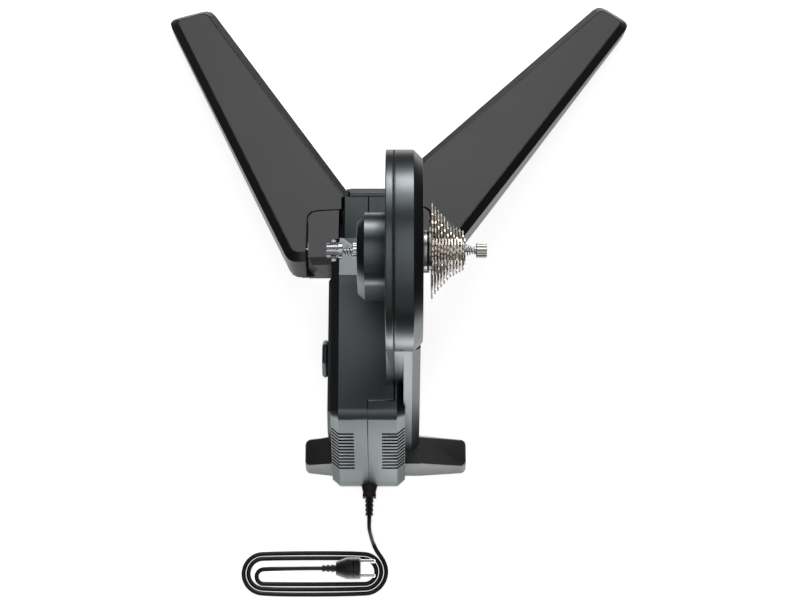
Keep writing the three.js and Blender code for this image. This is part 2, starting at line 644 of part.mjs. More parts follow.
// Everything below the wing's sloping underside, lowered by the given amount, in the frame of the wing
function underside(spec, frame, lower) {
  const start = spec.rootOuterAt - wing.rootDepth;
  const end = spec.tipOuterAt + wing.rootDepth;
  const slope = (wing.rootDepth - wing.tipDepth) / (spec.tipOuterAt - spec.rootOuterAt);
  const depthAt = (along) => -wing.rootDepth + slope * (along - spec.rootOuterAt) - lower;
  const shape = outline([[start, depthAt(start)], [end, depthAt(end)], [end, -farReach], [start, -farReach]]);
  return placed(frame, alongX(extrude(shape, farReach + farReach), -farReach));
}

function topSlab(spec, frame, fromDepth, toDepth) {
  const shape = outline([[-farReach, -farReach], [farReach, -farReach], [farReach, farReach], [-farReach,
    farReach]]);
  return placed(frame, extrude(shape, fromDepth - toDepth).translate(0, 0, -fromDepth));
}

function wingPockets(spec, frame) {
  const { side } = spec;
  const { rim, skin, pocketRows, pocketRib, rootDepth, panelDepth } = wing;
  const startAt = spec.pocketsFrom;
  const endAt = spec.tipInnerAt - wing.padLength - wing.padInset;
  const outerSlope = (spec.rootOuter - spec.tipOuter) / (spec.tipOuterAt - spec.rootOuterAt);
  const innerSlope = (spec.rootInner - spec.tipInner) / (spec.tipInnerAt - spec.rootInnerAt);
  const outerAt = (along) => spec.tipOuter + outerSlope * (spec.tipOuterAt - along) - rim - pocketRib;
  const innerAt = (along) => -spec.tipInner - innerSlope * (spec.tipInnerAt - along) + rim + pocketRib;
  const middleAt = (along) => (outerAt(along) + innerAt(along)) / 2;
  const step = (endAt - startAt) / pocketRows;
  const pockets = [];
  for (let row = 0; row < pocketRows; row += 1) {
    const near = startAt + row * step;
    const far = near + step - pocketRib;
    const half = pocketRib / 2;
    const cells = [
      [[outerAt(near), near], [outerAt(far), far], [middleAt(far) + half, far], [middleAt(near) + half,
      near]],
      [[innerAt(near), near], [innerAt(far), far], [middleAt(far) - half, far], [middleAt(near) - half,
      near]],
    ];
    for (const cell of cells) {
      const shape = outline(cell.map(([across, along]) => [side * across, along]));
      const geometry = extrude(shape, rootDepth + overrun - skin - panelDepth).translate(0, 0,
        -rootDepth - overrun);
      pockets.push(placed(frame, geometry));
    }
  }
  return pockets;
}

function buildWing(spec, name) {
  const frame = wingFrame(spec);
  const corners = wingCorners(spec);
  const { rootDepth, bevelIn, bevelDrop, panelInset, panelDepth } = wing;
  const { pinHalf, pinRadius, barrel, slotHalf, slotWall, barrelEnd, armWidth, slotReach, slotSkin } = hinge;
  const { pinAt } = spec;
  const whole = chamferedPlate(corners, rootDepth, bevelDrop, bevelIn);
  const still = stillPlan(spec, hingeBlock.wingGap);
  let shell = placed(frame, whole).subtract(still).subtract(underside(spec, frame, 0));
  const panelPlan = roundedOutline(insetCorners(corners, bevelIn + panelInset));
  const recess = placed(frame, extrude(panelPlan, panelDepth + gap + overrun).translate(0, 0,
    -panelDepth - gap));
  for (const pocket of wingPockets(spec, frame)) shell = shell.subtract(pocket);
  const slotRoom = chamferedPlate(insetCorners(corners, slotWall), farReach, bevelDrop,
    bevelIn).translate(0, 0, -slotSkin);
  const slot = hingeSlice(frame, pinAt, [
    [-armWidth - barrelEnd, -slotReach], [slotReach, -slotReach], [slotReach, slotReach],
    [-armWidth - barrelEnd, slotReach],
  ], slotHalf).intersect(placed(frame, slotRoom));
  shell = shell.subtract(slot).subtract(hingeRod(frame, barrel + barrelEnd / 2, pinAt - slotHalf,
    pinAt + slotHalf));
  shell = shell.subtract(hingeRod(frame, pinRadius + gap, pinAt - pinHalf - gap, pinAt + pinHalf + gap));
  addPiece(`${name}_wing`, shell.subtract(recess), wingBlack);

  const panelRoom = panelInset + gap;
  const plate = extrude(roundedOutline(insetCorners(corners, bevelIn + panelRoom)),
    panelDepth).translate(0, 0, -panelDepth);
  const plateStill = stillPlan(spec, hingeBlock.wingGap + wing.rimLine);
  addPiece(`${name}_wing_panel`, placed(frame, plate).subtract(plateStill), panelGrey);
  addPiece(`${name}_hinge_pin`, hingeRod(frame, pinRadius, pinAt - pinHalf, pinAt + pinHalf), steel);
  buildWingFoot(spec, frame, name);
  buildHingeBlock(spec, frame, name);
}

function buildWingFoot(spec, frame, name) {
  const { side, tipInnerAt, tipInner, tipOuter } = spec;
  const { padLength, padInset, tipDepth } = wing;
  const outerX = side * (tipOuter - padInset);
  const innerX = -side * (tipInner - padInset);
  const farAt = tipInnerAt - padInset;
  const places = [[outerX, farAt], [innerX, farAt], [innerX, farAt - padLength], [outerX, farAt - padLength]];
  const corners = places.map(([x, y]) => new THREE.Vector3(x, y, -tipDepth).applyMatrix4(frame.matrix));
  const shape = roundedOutline(corners.map(({ x, y }) => [x, y, padInset]));
  const pad = solidFrom(extrude(shape, farReach)).intersect(underside(spec, frame, gap));
  addPiece(`${name}_wing_foot`, pad, rubber);
}

// The height of the wing's top plane above a place in plan
function onTop(frame, x, y) {
  const origin = new THREE.Vector3().setFromMatrixPosition(frame.matrix);
  return origin.z - ((x - origin.x) * frame.up.x + (y - origin.y) * frame.up.y) / frame.up.z;
}

// Cuts the rear top edge of a hinge block to the bevel of the wing
function rearBevel(frame, x, y) {
  const along = new THREE.Vector3(0, 1, 0).cross(frame.up).normalize();
  const forward = new THREE.Vector3().crossVectors(frame.up, along);
  if (forward.y < 0) forward.negate();
  const edge = new THREE.Vector3(x, y, onTop(frame, x, y));
  const corners = [
    edge.clone().addScaledVector(forward, wing.bevelIn), edge.clone().setZ(edge.z - wing.bevelDrop),
    new THREE.Vector3(x, y - overrun, edge.z - wing.bevelDrop), new THREE.Vector3(x, y - overrun,
    edge.z + overrun),
    edge.clone().addScaledVector(forward, wing.bevelIn).setZ(edge.z + overrun),
  ];
  const ring = (reach) => corners.map((corner) => corner.clone().addScaledVector(along, reach).toArray());
  return solidFrom(loft([ring(-disc.radius), ring(disc.radius)]));
}

function buildHingeBlock(spec, frame, name) {
  const { side, pivotX, blockRearY: rearY } = spec;
  const { frontY, bottomZ, cornerRound, coverDepth, coneTip, coneLength, coneMargin } = hingeBlock;
  const { pinRadius, barrel, lugHalf, armWidth, armInner, armDrop, armFoot, armReach } = hinge;
  const { pinAt } = spec;
  const wallX = side < 0 ? body.leftX - gap - gap : pylon.rightX + gap + gap;
  const noseX = side < 0 ? nose.leftX - hingeBlock.noseGap : wallX;
  const cut = body.shoulderY + overrun;
  const step = side < 0 ? [[noseX, cut, 0], [wallX, cut, 0]] : [];
  const round = Math.min(cornerRound, Math.abs(noseX - pivotX) * hingeBlock.roundShare);
  const plan = roundedOutline([
    [pivotX, rearY, 0], [pivotX, frontY, round], [noseX, frontY, 0], ...step, [wallX, rearY, 0],
  ]);
  const top = topSlab(spec, frame, coverDepth, -farReach);
  const edge = new THREE.Vector3(1, 0, 0).cross(frame.up).normalize();
  const angle = Math.acos(Math.abs(edge.dot(frame.axis))) + coneMargin;
  const cone = new THREE.ConeGeometry(coneLength * Math.tan(angle), coneLength, roundSides / 2, 1)
    .rotateX(Math.PI / 2).translate(0, 0, coneTip - coneLength / 2);
  const room = solidFrom(cone.applyMatrix4(hingeFrame(frame, 0)));
  const column = solidFrom(extrude(plan, axle.z - bottomZ).translate(0, 0, bottomZ)).subtract(room)
    .subtract(rearBevel(frame, pivotX, rearY));
  const arm = hingeSlice(frame, pinAt, [
    [-armWidth, 0], [armInner, 0], [armInner, armDrop - armFoot], [armReach, armDrop - armFoot], [armReach,
    armDrop],
    [-armWidth, armDrop],
  ], lugHalf);
  const farX = side < 0 ? disc.rightX : disc.leftX;
  const insideTop = side < 0 ? body.stepZ : axle.z;
  const inside = block(Math.min(wallX, farX), Math.max(wallX, farX), body.rearY, nose.frontY, 0, insideTop);
  let lug = column.subtract(top).add(arm).add(hingeRod(frame, barrel, pinAt - lugHalf, pinAt + lugHalf));
  lug = lug.subtract(hingeRod(frame, pinRadius + gap, pinAt - lugHalf - overrun, pinAt + lugHalf + overrun));
  const ledge = block(-farReach, farReach, rearY - overrun, rearY + hingeBlock.ledge, 0, onTop(frame,
    pivotX, rearY) - wing.rootDepth);
  addPiece(`${name}_hinge_block`, lug.subtract(inside).subtract(ledge), castBlack);
  const lid = column.intersect(topSlab(spec, frame, coverDepth - gap, 0));
  addPiece(`${name}_hinge_cover`, lid, panelGrey);
}

// Base casting and rear foot
function buildBase() {
  const { leftX, rightX, bottomZ, topZ, rearY, frontY } = frameBeam;
  let base = block(leftX, rightX, rearY, frontY, bottomZ, topZ);
  const cross = crossBeam;
  base = base.add(block(nose.leftX, cross.rightX, cross.rearY, cross.frontY, cross.bottomZ,
    body.stepZ - gap));
  const armY = leftWing.blockRearY + hingeBlock.ledge;
  base = base.add(block(cross.leftX, nose.leftX + overrun, armY, hingeBlock.frontY, cross.bottomZ,
    body.stepZ - gap));
  base = base.add(block(cross.leftX, bridge.rightX, hingeBlock.frontY - overrun, cross.shelfY,
    cross.bottomZ, cross.shelfTopZ));
  base = base.add(slabX([
    [cross.frontY - overrun, cross.bottomZ], [bridge.frontY, cross.bottomZ + bridge.bevel],
    [bridge.frontY, bridge.topZ - bridge.bevel - bridge.bevel],
    [bridge.frontY - bridge.bevel - bridge.bevel, bridge.topZ],
    [nose.frontY + gap, bridge.topZ], [nose.frontY + gap, body.stepZ - gap], [cross.frontY - overrun,
    body.stepZ - gap],
  ], bridge.leftX, bridge.rightX));
  addPiece('base_frame', base, castBlack);
}

function buildFoot() {
  const { leftX, rightX, frontY, rearY, bottomZ, topZ, bodyLeftX, bodyRightX, endTopZ, topInset,
    topRise } = foot;
  const { underInset, endInset, endRound, padInset, padWidth, padRound } = foot;
  const section = (x, inset, top) => [
    [x, rearY + inset + underInset, bottomZ], [x, frontY - inset - underInset, bottomZ], [x,
    frontY - inset, top - topRise],
    [x, frontY - inset - topInset, top], [x, rearY + inset + topInset, top], [x, rearY + inset,
    top - topRise],
  ];
  const rings = [
    section(leftX, endInset + endRound, endTopZ - endRound / 2), section(leftX + endRound, endInset, endTopZ),
    section(bodyLeftX, 0, topZ - gap), section(bodyRightX, 0, topZ - gap),
    section(rightX - endRound, endInset, endTopZ), section(rightX, endInset + endRound,
    endTopZ - endRound / 2),
  ];
  const inletRoom = block(inlet.x - inlet.width / 2 - gap, inlet.x + inlet.width / 2 + gap, rearY - overrun,
    inlet.rearY + inlet.depth + gap, inlet.z - inlet.height / 2 - gap, topZ + overrun);
  addPiece('rear_foot', solidFrom(loft(rings)).subtract(inletRoom), castBlack);
  const places = [['left', leftX + padInset + endRound], ['right', rightX - padInset - endRound - padWidth]];
  for (const [name, x] of places) {
    const nearY = (frontY + rearY - foot.padLength) / 2;
    const farY = nearY + foot.padLength;
    const pad = roundedOutline([
      [x, nearY, padRound], [x + padWidth, nearY, padRound], [x + padWidth, farY, padRound], [x, farY,
      padRound],
    ]);
    addPiece(`rear_pad_${name}`, solidFrom(extrude(pad, foot.padHeight)), rubber);
  }
}

// Rotor, stator, bearings, hub flange
function buildMotor() {
  const { radius, rimInner, leftX, webX, webThick, hubRadius, hubBore, hubRightX } = rotor;
  addPiece('rotor', axleSolid([
    [hubBore, webX], [rimInner, webX], [rimInner, leftX], [radius, leftX], [radius, webX + webThick / 2],
    [radius - webThick, webX + webThick], [hubRadius, webX + webThick], [hubRadius, hubRightX], [hubBore,
    hubRightX],
    [hubBore, webX],
  ], innerSides), castBlack);
  addPiece('magnet_ring', ringX(magnets.inner, magnets.outer, magnets.leftX, magnets.rightX, innerSides),
    steel);
  const shape = new THREE.Shape();
  for (let i = 0; i < stator.teeth; i += 1) {
    const start = (i / stator.teeth) * 2 * Math.PI;
    const wide = (stator.toothShare / stator.teeth) * 2 * Math.PI;
    const at = (r, angle) => [r * Math.cos(angle), r * Math.sin(angle)];
    const points = [at(stator.outer, start), at(stator.outer, start + wide), at(stator.yoke, start + wide),
      at(stator.yoke, start + (2 * Math.PI) / stator.teeth)];
    points.forEach(([x, y], j) => (i + j === 0 ? shape.moveTo(x, y) : shape.lineTo(x, y)));
  }
  shape.closePath();
  shape.holes.push(new THREE.Path().absarc(0, 0, stator.inner, 0, 2 * Math.PI));
  const core = extrude(shape, stator.rightX - stator.leftX, { curveSegments: smallSides });
  addPiece('stator', solidFrom(alongX(core.translate(axle.y, axle.z, 0), stator.leftX)), copper);
  for (const [name, x] of [['inner', bearing.firstX], ['outer', bearing.secondX]]) {
    addPiece(`bearing_${name}`, ringX(bearing.inner, bearing.outer, x, x + bearing.width, innerSides), steel);
  }
  addPiece('hub_flange', axleSolid([
    [hubFlange.inner, hubFlange.leftX], [hubFlange.neckRadius + gap, hubFlange.leftX],
    [hubFlange.radius - gap, hubFlange.leftX],
    [hubFlange.radius, hubFlange.leftX + overrun], [hubFlange.radius, hubFlange.rightX - overrun],
    [hubFlange.radius - overrun, hubFlange.rightX], [hubFlange.inner, hubFlange.rightX], [hubFlange.inner,
    hubFlange.leftX],
  ], roundSides / 2), steel);
}

// Axle with its knurled end caps
function starShape(radius, depth, count, hole) {
  const shape = new THREE.Shape();
  const steps = count * starSteps;
  for (let i = 0; i < steps; i += 1) {
    const angle = (i / steps) * 2 * Math.PI;
    const reach = i % starSteps < starSteps / 2 ? radius : radius - depth;
    const point = [reach * Math.cos(angle), reach * Math.sin(angle)];
    if (i === 0) shape.moveTo(...point);
    else shape.lineTo(...point);
  }
  shape.closePath();
  if (hole > 0) shape.holes.push(new THREE.Path().absarc(0, 0, hole, 0, 2 * Math.PI));
  return shape;
}

function starX(radius, depth, count, hole, fromX, toX) {
  const geometry = extrude(starShape(radius, depth, count, hole), toX - fromX,
    { curveSegments: smallSides / 2 });
  return solidFrom(alongX(geometry.translate(axle.y, axle.z, 0), fromX));
}

function buildAxle() {
  addPiece('axle', ringX(axle.bore, axle.radius, axle.tubeLeftX, axle.tubeRightX, smallSides), steel);
  for (const [name, fromX] of [['left', axle.leftX], ['right', axle.rightX - axle.capLength]]) {
    addPiece(`axle_end_cap_${name}`, starX(axle.capRadius, axle.knurlDepth, axle.knurls, axle.bore, fromX,
      fromX + axle.capLength), steel);
  }
}

// Freehub, cogs and lockring
function cogOutline(teeth, boreCorner) {
  const pitchRadius = cassette.chainPitch / (2 * Math.sin(Math.PI / teeth));
  const tip = pitchRadius + cassette.tip;
  const seat = pitchRadius - cassette.seatDepth;
  const shape = new THREE.Shape();
  const step = (2 * Math.PI) / teeth;
  for (let i = 0; i < teeth; i += 1) {
    const middle = i * step;
    const stops = [
      [tip, middle - cassette.tipShare * step / 2], [tip, middle + cassette.tipShare * step / 2],
      [seat, middle + step / 2 - cassette.seatShare * step / 2], [seat,
      middle + step / 2 + cassette.seatShare * step / 2],
    ];
    stops.forEach(([reach, angle], j) => {
      const point = [reach * Math.cos(angle), reach * Math.sin(angle)];
      if (i + j === 0) shape.moveTo(...point);
      else shape.lineTo(...point);
    });
  }
  shape.closePath();
  shape.holes.push(new THREE.Path().absarc(0, 0, boreCorner, 0, 2 * Math.PI));
  return shape;
}

function buildCassette() {
  const { teeth, firstX, lastX, pitch, thickness, spacer, bore } = cassette;
  const boreCorner = bore / Math.cos(Math.PI / cogSides);
  teeth.forEach((count, i) => {
    const x = firstX + i * pitch;
    const plate = extrude(cogOutline(count, boreCorner), thickness, { curveSegments: cogSides / 2 });
    let cog = solidFrom(alongX(plate.translate(axle.y, axle.z, 0), x));
    if (i + 1 < teeth.length) cog = cog.add(ringX(boreCorner, spacer, x + thickness / 2, x + pitch - gap,
      cogSides));
    addPiece(`cog_${String(count).padStart(2, '0')}t`, cog, nickel);
  });
  const star = starX(freehub.radius, freehub.splineDepth, freehub.splines, freehub.bore, freehub.leftX,
    lastX - gap);
  const collar = ringX(freehub.bore, freehub.collarRadius, freehub.leftX,
    freehub.leftX + freehub.collarThick, smallSides);
  const capRoom = plugX(axle.capRadius + gap, axle.tubeRightX - gap, lastX, smallSides);
  addPiece('freehub_body', star.add(collar).subtract(capRoom), darkMetal);
  addPiece('lockring', starX(lockring.outer, lockring.notchDepth, lockring.notches, lockring.inner,
    lastX + gap,
    lastX + gap + lockring.thickness), darkMetal);
}

// Quick release: rod, cam housing, cam pin, lever, thumb nut and the two cone springs
function camDirection() {
  return new THREE.Vector3(0, Math.cos(camPin.tilt), Math.sin(camPin.tilt));
}

function camMatrix() {
  const pin = camDirection();
  const out = new THREE.Vector3(-1, 0, 0);
  const down = new THREE.Vector3().crossVectors(pin, out);
  if (down.z > 0) down.negate();
  return new THREE.Matrix4().makeBasis(out, down, pin).setPosition(camPin.x, axle.y, axle.z);
}

function camCylinder(radius, from, to) {
  const geometry = new THREE.CylinderGeometry(radius, radius, to - from, smallSides).rotateX(Math.PI / 2);
  return solidFrom(geometry.translate(0, 0, (from + to) / 2).applyMatrix4(camMatrix()));
}

function buildQuickRelease() {
  const { radius, bore } = rod;
  addPiece('skewer_rod', plugX(radius, rod.leftX, thumbNut.rightX - thumbNut.wall - gap, smallSides), steel);
  const housing = starX(camHousing.radius, camHousing.ribDepth, camHousing.ribs, 0, camHousing.leftX,
    camHousing.rightX)
    .add(plugX(camHousing.flangeRadius, camHousing.rightX - overrun, camHousing.flangeRightX, smallSides))
    .subtract(plugX(bore, rod.leftX - gap, camHousing.flangeRightX + overrun, smallSides))
    .subtract(camCylinder(camPin.radius + gap, -camPin.half, camPin.half));
  addPiece('cam_housing', housing, steel);
  addPiece('cam_pin', camCylinder(camPin.radius, -camPin.half, camPin.half), steel);
  buildLever();
  const neckEndX = thumbNut.leftX + thumbNut.neckLength;
  const nut = starX(thumbNut.radius, thumbNut.knurlDepth, thumbNut.knurls, 0, neckEndX, thumbNut.rightX)
    .add(plugX(thumbNut.neckRadius, thumbNut.leftX, neckEndX + overrun, smallSides))
    .subtract(plugX(bore, thumbNut.leftX - overrun, thumbNut.rightX - thumbNut.wall, smallSides));
  addPiece('thumb_nut', nut, darkMetal);
  addPiece('cone_spring_left', windSpring(camHousing.flangeRightX + gap, axle.leftX - gap, false), steel);
  addPiece('cone_spring_right', windSpring(axle.rightX + gap, thumbNut.leftX - gap, true), steel);
}

function buildLever() {
  const { armThick, armWidth, reach, length, bladeWidth, bladeThick } = lever;
  const inner = camHousing.radius + lever.armGap;
  let yoke = null;
  for (const from of [inner, -inner - armThick]) {
    const arm = solidFrom(extrude(roundedOutline([
      [-armWidth / 2, -armWidth / 2, lever.fillet], [armWidth / 2, -armWidth / 2, lever.fillet],
      [bladeThick / 2, reach + armThick, 0], [-bladeThick / 2, reach + armThick, 0],
    ]), armThick).translate(0, 0, from).applyMatrix4(camMatrix()));
    yoke = yoke ? yoke.add(arm) : arm;
  }
  const blade = extrude(roundedOutline([
    [reach, -inner - armThick, lever.fillet], [reach, inner + armThick, lever.fillet],
    [length, bladeWidth / 2 - lever.fillet, lever.fillet + lever.fillet],
    [length, lever.fillet - bladeWidth / 2, lever.fillet + lever.fillet],
  ]), bladeThick).translate(0, 0, -bladeThick / 2);
  const toPin = new THREE.Matrix4().makeBasis(
    new THREE.Vector3(0, 1, 0), new THREE.Vector3(0, 0, 1), new THREE.Vector3(1, 0, 0));
  yoke = yoke.add(solidFrom(blade.applyMatrix4(toPin).applyMatrix4(camMatrix())));
  addPiece('skewer_lever', yoke.subtract(camCylinder(camPin.radius + gap, -camPin.half - overrun,
    camPin.half + overrun)), steel);
}

// A tube along points, its ends closed, of the given radius and number of sides
function tubeGeometry(points, radius, sides) {
  const rings = [];
  let normal = null;
  points.forEach((point, i) => {
    const before = points[Math.max(i - 1, 0)];
    const after = points[Math.min(i + 1, points.length - 1)];
    const tangent = after.clone().sub(before).normalize();
    if (!normal) {
      const helper = Math.abs(tangent.z) < Math.abs(tangent.x) + Math.abs(tangent.y)
        ? new THREE.Vector3(0, 0, 1) : new THREE.Vector3(1, 0, 0);
      normal = new THREE.Vector3().crossVectors(tangent, helper).normalize();
    }
    normal.addScaledVector(tangent, -normal.dot(tangent)).normalize();
    const other = new THREE.Vector3().crossVectors(tangent, normal);
    const ring = [];
    for (let j = 0; j < sides; j += 1) {
      const angle = (j / sides) * 2 * Math.PI;
      ring.push(point.clone().addScaledVector(normal, radius * Math.cos(angle))
        .addScaledVector(other, radius * Math.sin(angle)).toArray());
    }
    rings.push(ring);
  });
  return solidFrom(loft(rings));
}

function windSpring(fromX, toX, smallFirst) {
  const { wire, small, large, turns, sides, stepsPerTurn } = coneSpring;
  const points = [];
  const steps = turns * stepsPerTurn;
  const startX = fromX + wire;
  const endX = toX - wire;
  for (let i = 0; i <= steps; i += 1) {
    const share = i / steps;
    const radius = smallFirst ? large + (small - large) * share : small + (large - small) * share;
    const angle = share * turns * 2 * Math.PI;
    points.push(new THREE.Vector3(startX + (endX - startX) * share, axle.y + radius * Math.cos(angle),
      axle.z + radius * Math.sin(angle)));
  }
  return tubeGeometry(points, wire, sides);
}

// Electronics
function buildElectronics() {
  const { leftX, rightX, rearY, frontY, bottomZ, thickness, chip, chipHeight } = board;
  let panel = block(leftX, rightX, rearY, frontY, bottomZ, bottomZ + thickness);
  for (let i = 0; i < board.chips; i += 1) {
    const x = leftX + chip / 2;
    const y = rearY + chip + i * (chip + chip);
    panel = panel.add(block(x, x + chip, y, y + chip, bottomZ + thickness / 2, bottomZ + chipHeight));
  }
  for (const y of [rearY, frontY - board.pillar]) {
    panel = panel.add(block(rightX - board.pillar, rightX, y, y + board.pillar, frameBeam.topZ + gap,
      bottomZ + thickness / 2));
  }
  addPiece('control_board', panel, boardGreen);
  let pack = block(supply.leftX, supply.rightX, supply.rearY, supply.frontY, supplyBottomZ, supplyTopZ);
  const pitch = (supply.rightX - supply.leftX) / supply.fins;
  for (let i = 0; i < supply.fins; i += 1) {
    const x = supply.leftX + i * pitch;
    pack = pack.subtract(block(x, x + pitch - supply.fin, supply.rearY - overrun, supply.frontY + overrun,
      supplyTopZ - supply.fin - supply.fin, supplyTopZ + overrun));
  }
  addPiece('power_supply', pack, darkMetal);
}

// Mains inlet and the lead
function roundedBar(width, height, radius, fromY, toY, endWidth = width, endHeight = height) {
  const ring = (y, halfWidth, halfHeight) => {
    const places = [];
    for (const [cx, cz, start] of [[1, 1, 0], [-1, 1, 1], [-1, -1, 2], [1, -1, 3]]) {
      for (let i = 0; i < cornerSteps; i += 1) {
        const angle = ((start + i / (cornerSteps - 1)) * Math.PI) / 2;
        places.push([inlet.x + cx * (halfWidth - radius) + radius * Math.cos(angle), y,
          inlet.z + cz * (halfHeight - radius) + radius * Math.sin(angle)]);
      }
    }
    return places;
  };
  return solidFrom(loft([ring(fromY, width / 2, height / 2), ring(toY, endWidth / 2, endHeight / 2)]));
}

// A strain relief as a profile of [radius, place], ribbed from its thin end to its thick end
function ribbedProfile(from, to, fromRadius, toRadius, ribs, ribShare, ribDepth) {
  const pitch = (to - from) / ribs;
  const profile = [[0, from]];
  for (let i = 0; i < ribs; i += 1) {
    const at = from + i * pitch;
    const radius = fromRadius + ((toRadius - fromRadius) * (i + 1)) / ribs;
    const ribEnd = at + pitch * ribShare;
    profile.push([radius, at], [radius, ribEnd], [radius - ribDepth, ribEnd]);
    if (i + 1 < ribs) profile.push([radius - ribDepth, at + pitch]);
  }
  return profile;
}

function buildInlet() {
  const { x, z, width, height, rearY, depth, wall, pin, pinGap, pinLength } = inlet;
  const halfX = width / 2;
  const halfZ = height / 2;
  let socket = block(x - halfX, x + halfX, rearY, rearY + depth, z - halfZ, z + halfZ).subtract(
    block(x - halfX + wall, x + halfX - wall, rearY - overrun, rearY + depth - wall, z - halfZ + wall,
    z + halfZ - wall));
  for (const side of [-1, 1]) {
    const pinX = x + side * pinGap;
    socket = socket.add(block(pinX - pin, pinX + pin, rearY + depth - pinLength, rearY + depth - wall / 2,
      z - pin, z + pin));
  }
  addPiece('mains_inlet', socket, cableBlack);
}

function buildConnector() {
  const { x, z, width, height, rearY, depth, wall, pinGap } = inlet;
  const { length, collarLength, reliefLength, corner, ribs, ribShare, ribDepth } = connector;
  const faceY = rearY - gap;
  const collarY = faceY - length;
  const reliefY = collarY - collarLength;
  const endY = reliefY - reliefLength;
  const room = wall + gap;
  const prong = roundedBar(width - room - room, height - room - room, wall / 2, faceY - overrun,
    rearY + pinGap)
    .subtract(block(x - pinGap - wall, x + pinGap + wall, faceY, rearY + depth, z - wall, z + wall));
  const head = roundedBar(connector.width, connector.height, corner, faceY, collarY, connector.endWidth,
    connector.height)
    .add(roundedBar(connector.collarWidth, connector.collarHeight, corner, collarY + gap, reliefY));
  const profile = ribbedProfile(endY, reliefY, connector.reliefEnd, connector.reliefRadius, ribs, ribShare,
    ribDepth);
  profile.push([connector.reliefRadius - ribDepth, reliefY + overrun], [0, reliefY + overrun]);
  const points = profile.map(([radius, y]) => new THREE.Vector2(radius, y));
  const relief = new THREE.LatheGeometry(points, cogSides).translate(x, 0, z);
  addPiece('mains_connector', head.add(solidFrom(relief)).add(prong), cableBlack);
}

// The spiral of the loops runs clockwise from outside to inside, its last half turn drawn in to the plug
function bundlePoints() {
  const { centreX, centreY, outerRadius, straight, pitch, startAngle, loops, endSteps, lastRise,
    lastStraight } = bundle;
  const z = lead.radius;
  const points = [];
  const radiusAt = (angle) => outerRadius - (pitch * (Math.PI / 2 - angle)) / (2 * Math.PI);
  const place = (angle) => {
    const side = Math.cos(angle) >= 0 ? 1 : -1;
    const reach = radiusAt(angle);
    return [centreX + (side * straight) / 2 + reach * Math.cos(angle), centreY + reach * Math.sin(angle)];
  };
  const arc = (from, to, side) => {
    const steps = Math.ceil((Math.abs(to - from) / Math.PI) * endSteps);
    for (let i = 0; i <= steps; i += 1) {
      const angle = from + ((to - from) * i) / steps;
      const reach = radiusAt(angle);
      points.push(new THREE.Vector3(centreX + (side * straight) / 2 + reach * Math.cos(angle),
        centreY + reach * Math.sin(angle), z));
    }
  };
  const [startX, startY] = place(startAngle);
  const heading = new THREE.Vector3(Math.sin(startAngle), -Math.cos(startAngle), 0);
  points.push(new THREE.Vector3(startX, startY, z).addScaledVector(heading, -lead.radius - lead.radius));
  let angle = startAngle;
  for (let i = 0; i < loops; i += 1) {
    const bottom = -Math.PI / 2 - 2 * Math.PI * i;
    arc(angle, bottom, 1);
    if (i + 1 < loops) arc(bottom, bottom - Math.PI, -1);
    angle = bottom - Math.PI;
  }
  const bottom = -Math.PI / 2 - 2 * Math.PI * (loops - 1);
  const lastRadius = (radiusAt(bottom) + lastRise) / 2;
  for (let i = 0; i <= endSteps; i += 1) {
    const turn = (Math.PI * i) / endSteps;
    points.push(new THREE.Vector3(centreX - straight / 2 - lastRadius * Math.sin(turn),
      centreY + lastRise - lastRadius - lastRadius * Math.cos(turn),
      z + ((plug.radius - z) * i) / (endSteps + endSteps)));
  }
  points.push(new THREE.Vector3(plug.reliefX - gap - lastStraight, centreY + lastRise, plug.radius));
  points.push(new THREE.Vector3(plug.reliefX - gap, centreY + lastRise, plug.radius));
  return points;
}

function leastSelfGap(points, skip) {
  const fine = [];
  for (let i = 0; i + 1 < points.length; i += 1) {
    const steps = Math.ceil(points[i].distanceTo(points[i + 1]) / lead.radius);
    for (let j = 0; j < steps; j += 1) fine.push(points[i].clone().lerp(points[i + 1], j / steps));
  }
  let least = Infinity;
  fine.forEach((point, i) => {
    for (let j = i + skip; j < fine.length; j += 1) least = Math.min(least, point.distanceTo(fine[j]));
  });
  return least - lead.radius - lead.radius;
}

function pathLength(points) {
  return points.slice(1).reduce((sum, point, i) => sum + point.distanceTo(points[i]), 0);
}

function buildLead() {
  const loops = bundlePoints();
  const start = loops[0];
  const heading = loops[1].clone().sub(start).normalize();
  const reliefY = inlet.rearY - gap - connector.length - connector.collarLength - connector.reliefLength;
  const from = new THREE.Vector3(inlet.x, reliefY - gap, inlet.z);
  const to = start.clone().addScaledVector(heading, -gap);
  const leave = from.clone().setY(from.y - lead.radius - lead.radius);
  const arrive = to.clone().addScaledVector(heading, -lead.radius - lead.radius);
  const route = [leave, ...leadRoute.map((point) => new THREE.Vector3(...point)), arrive];
  const curve = new THREE.CatmullRomCurve3(route, false, 'centripetal');
  const free = [from, ...curve.getPoints(lead.steps), to];
  addPiece('power_cord', tubeGeometry(free, lead.radius, lead.sides), cableBlack);
  addPiece('cord_bundle', tubeGeometry(loops, lead.radius, bundle.sides), cableBlack);
  const length = pathLength(free) + pathLength(loops);
  const selfGap = leastSelfGap(loops, bundle.endSteps + bundle.endSteps);
  console.log(`lead ${length.toFixed(0)} mm, least gap of the loops to themselves ${selfGap.toFixed(2)} mm`);
}

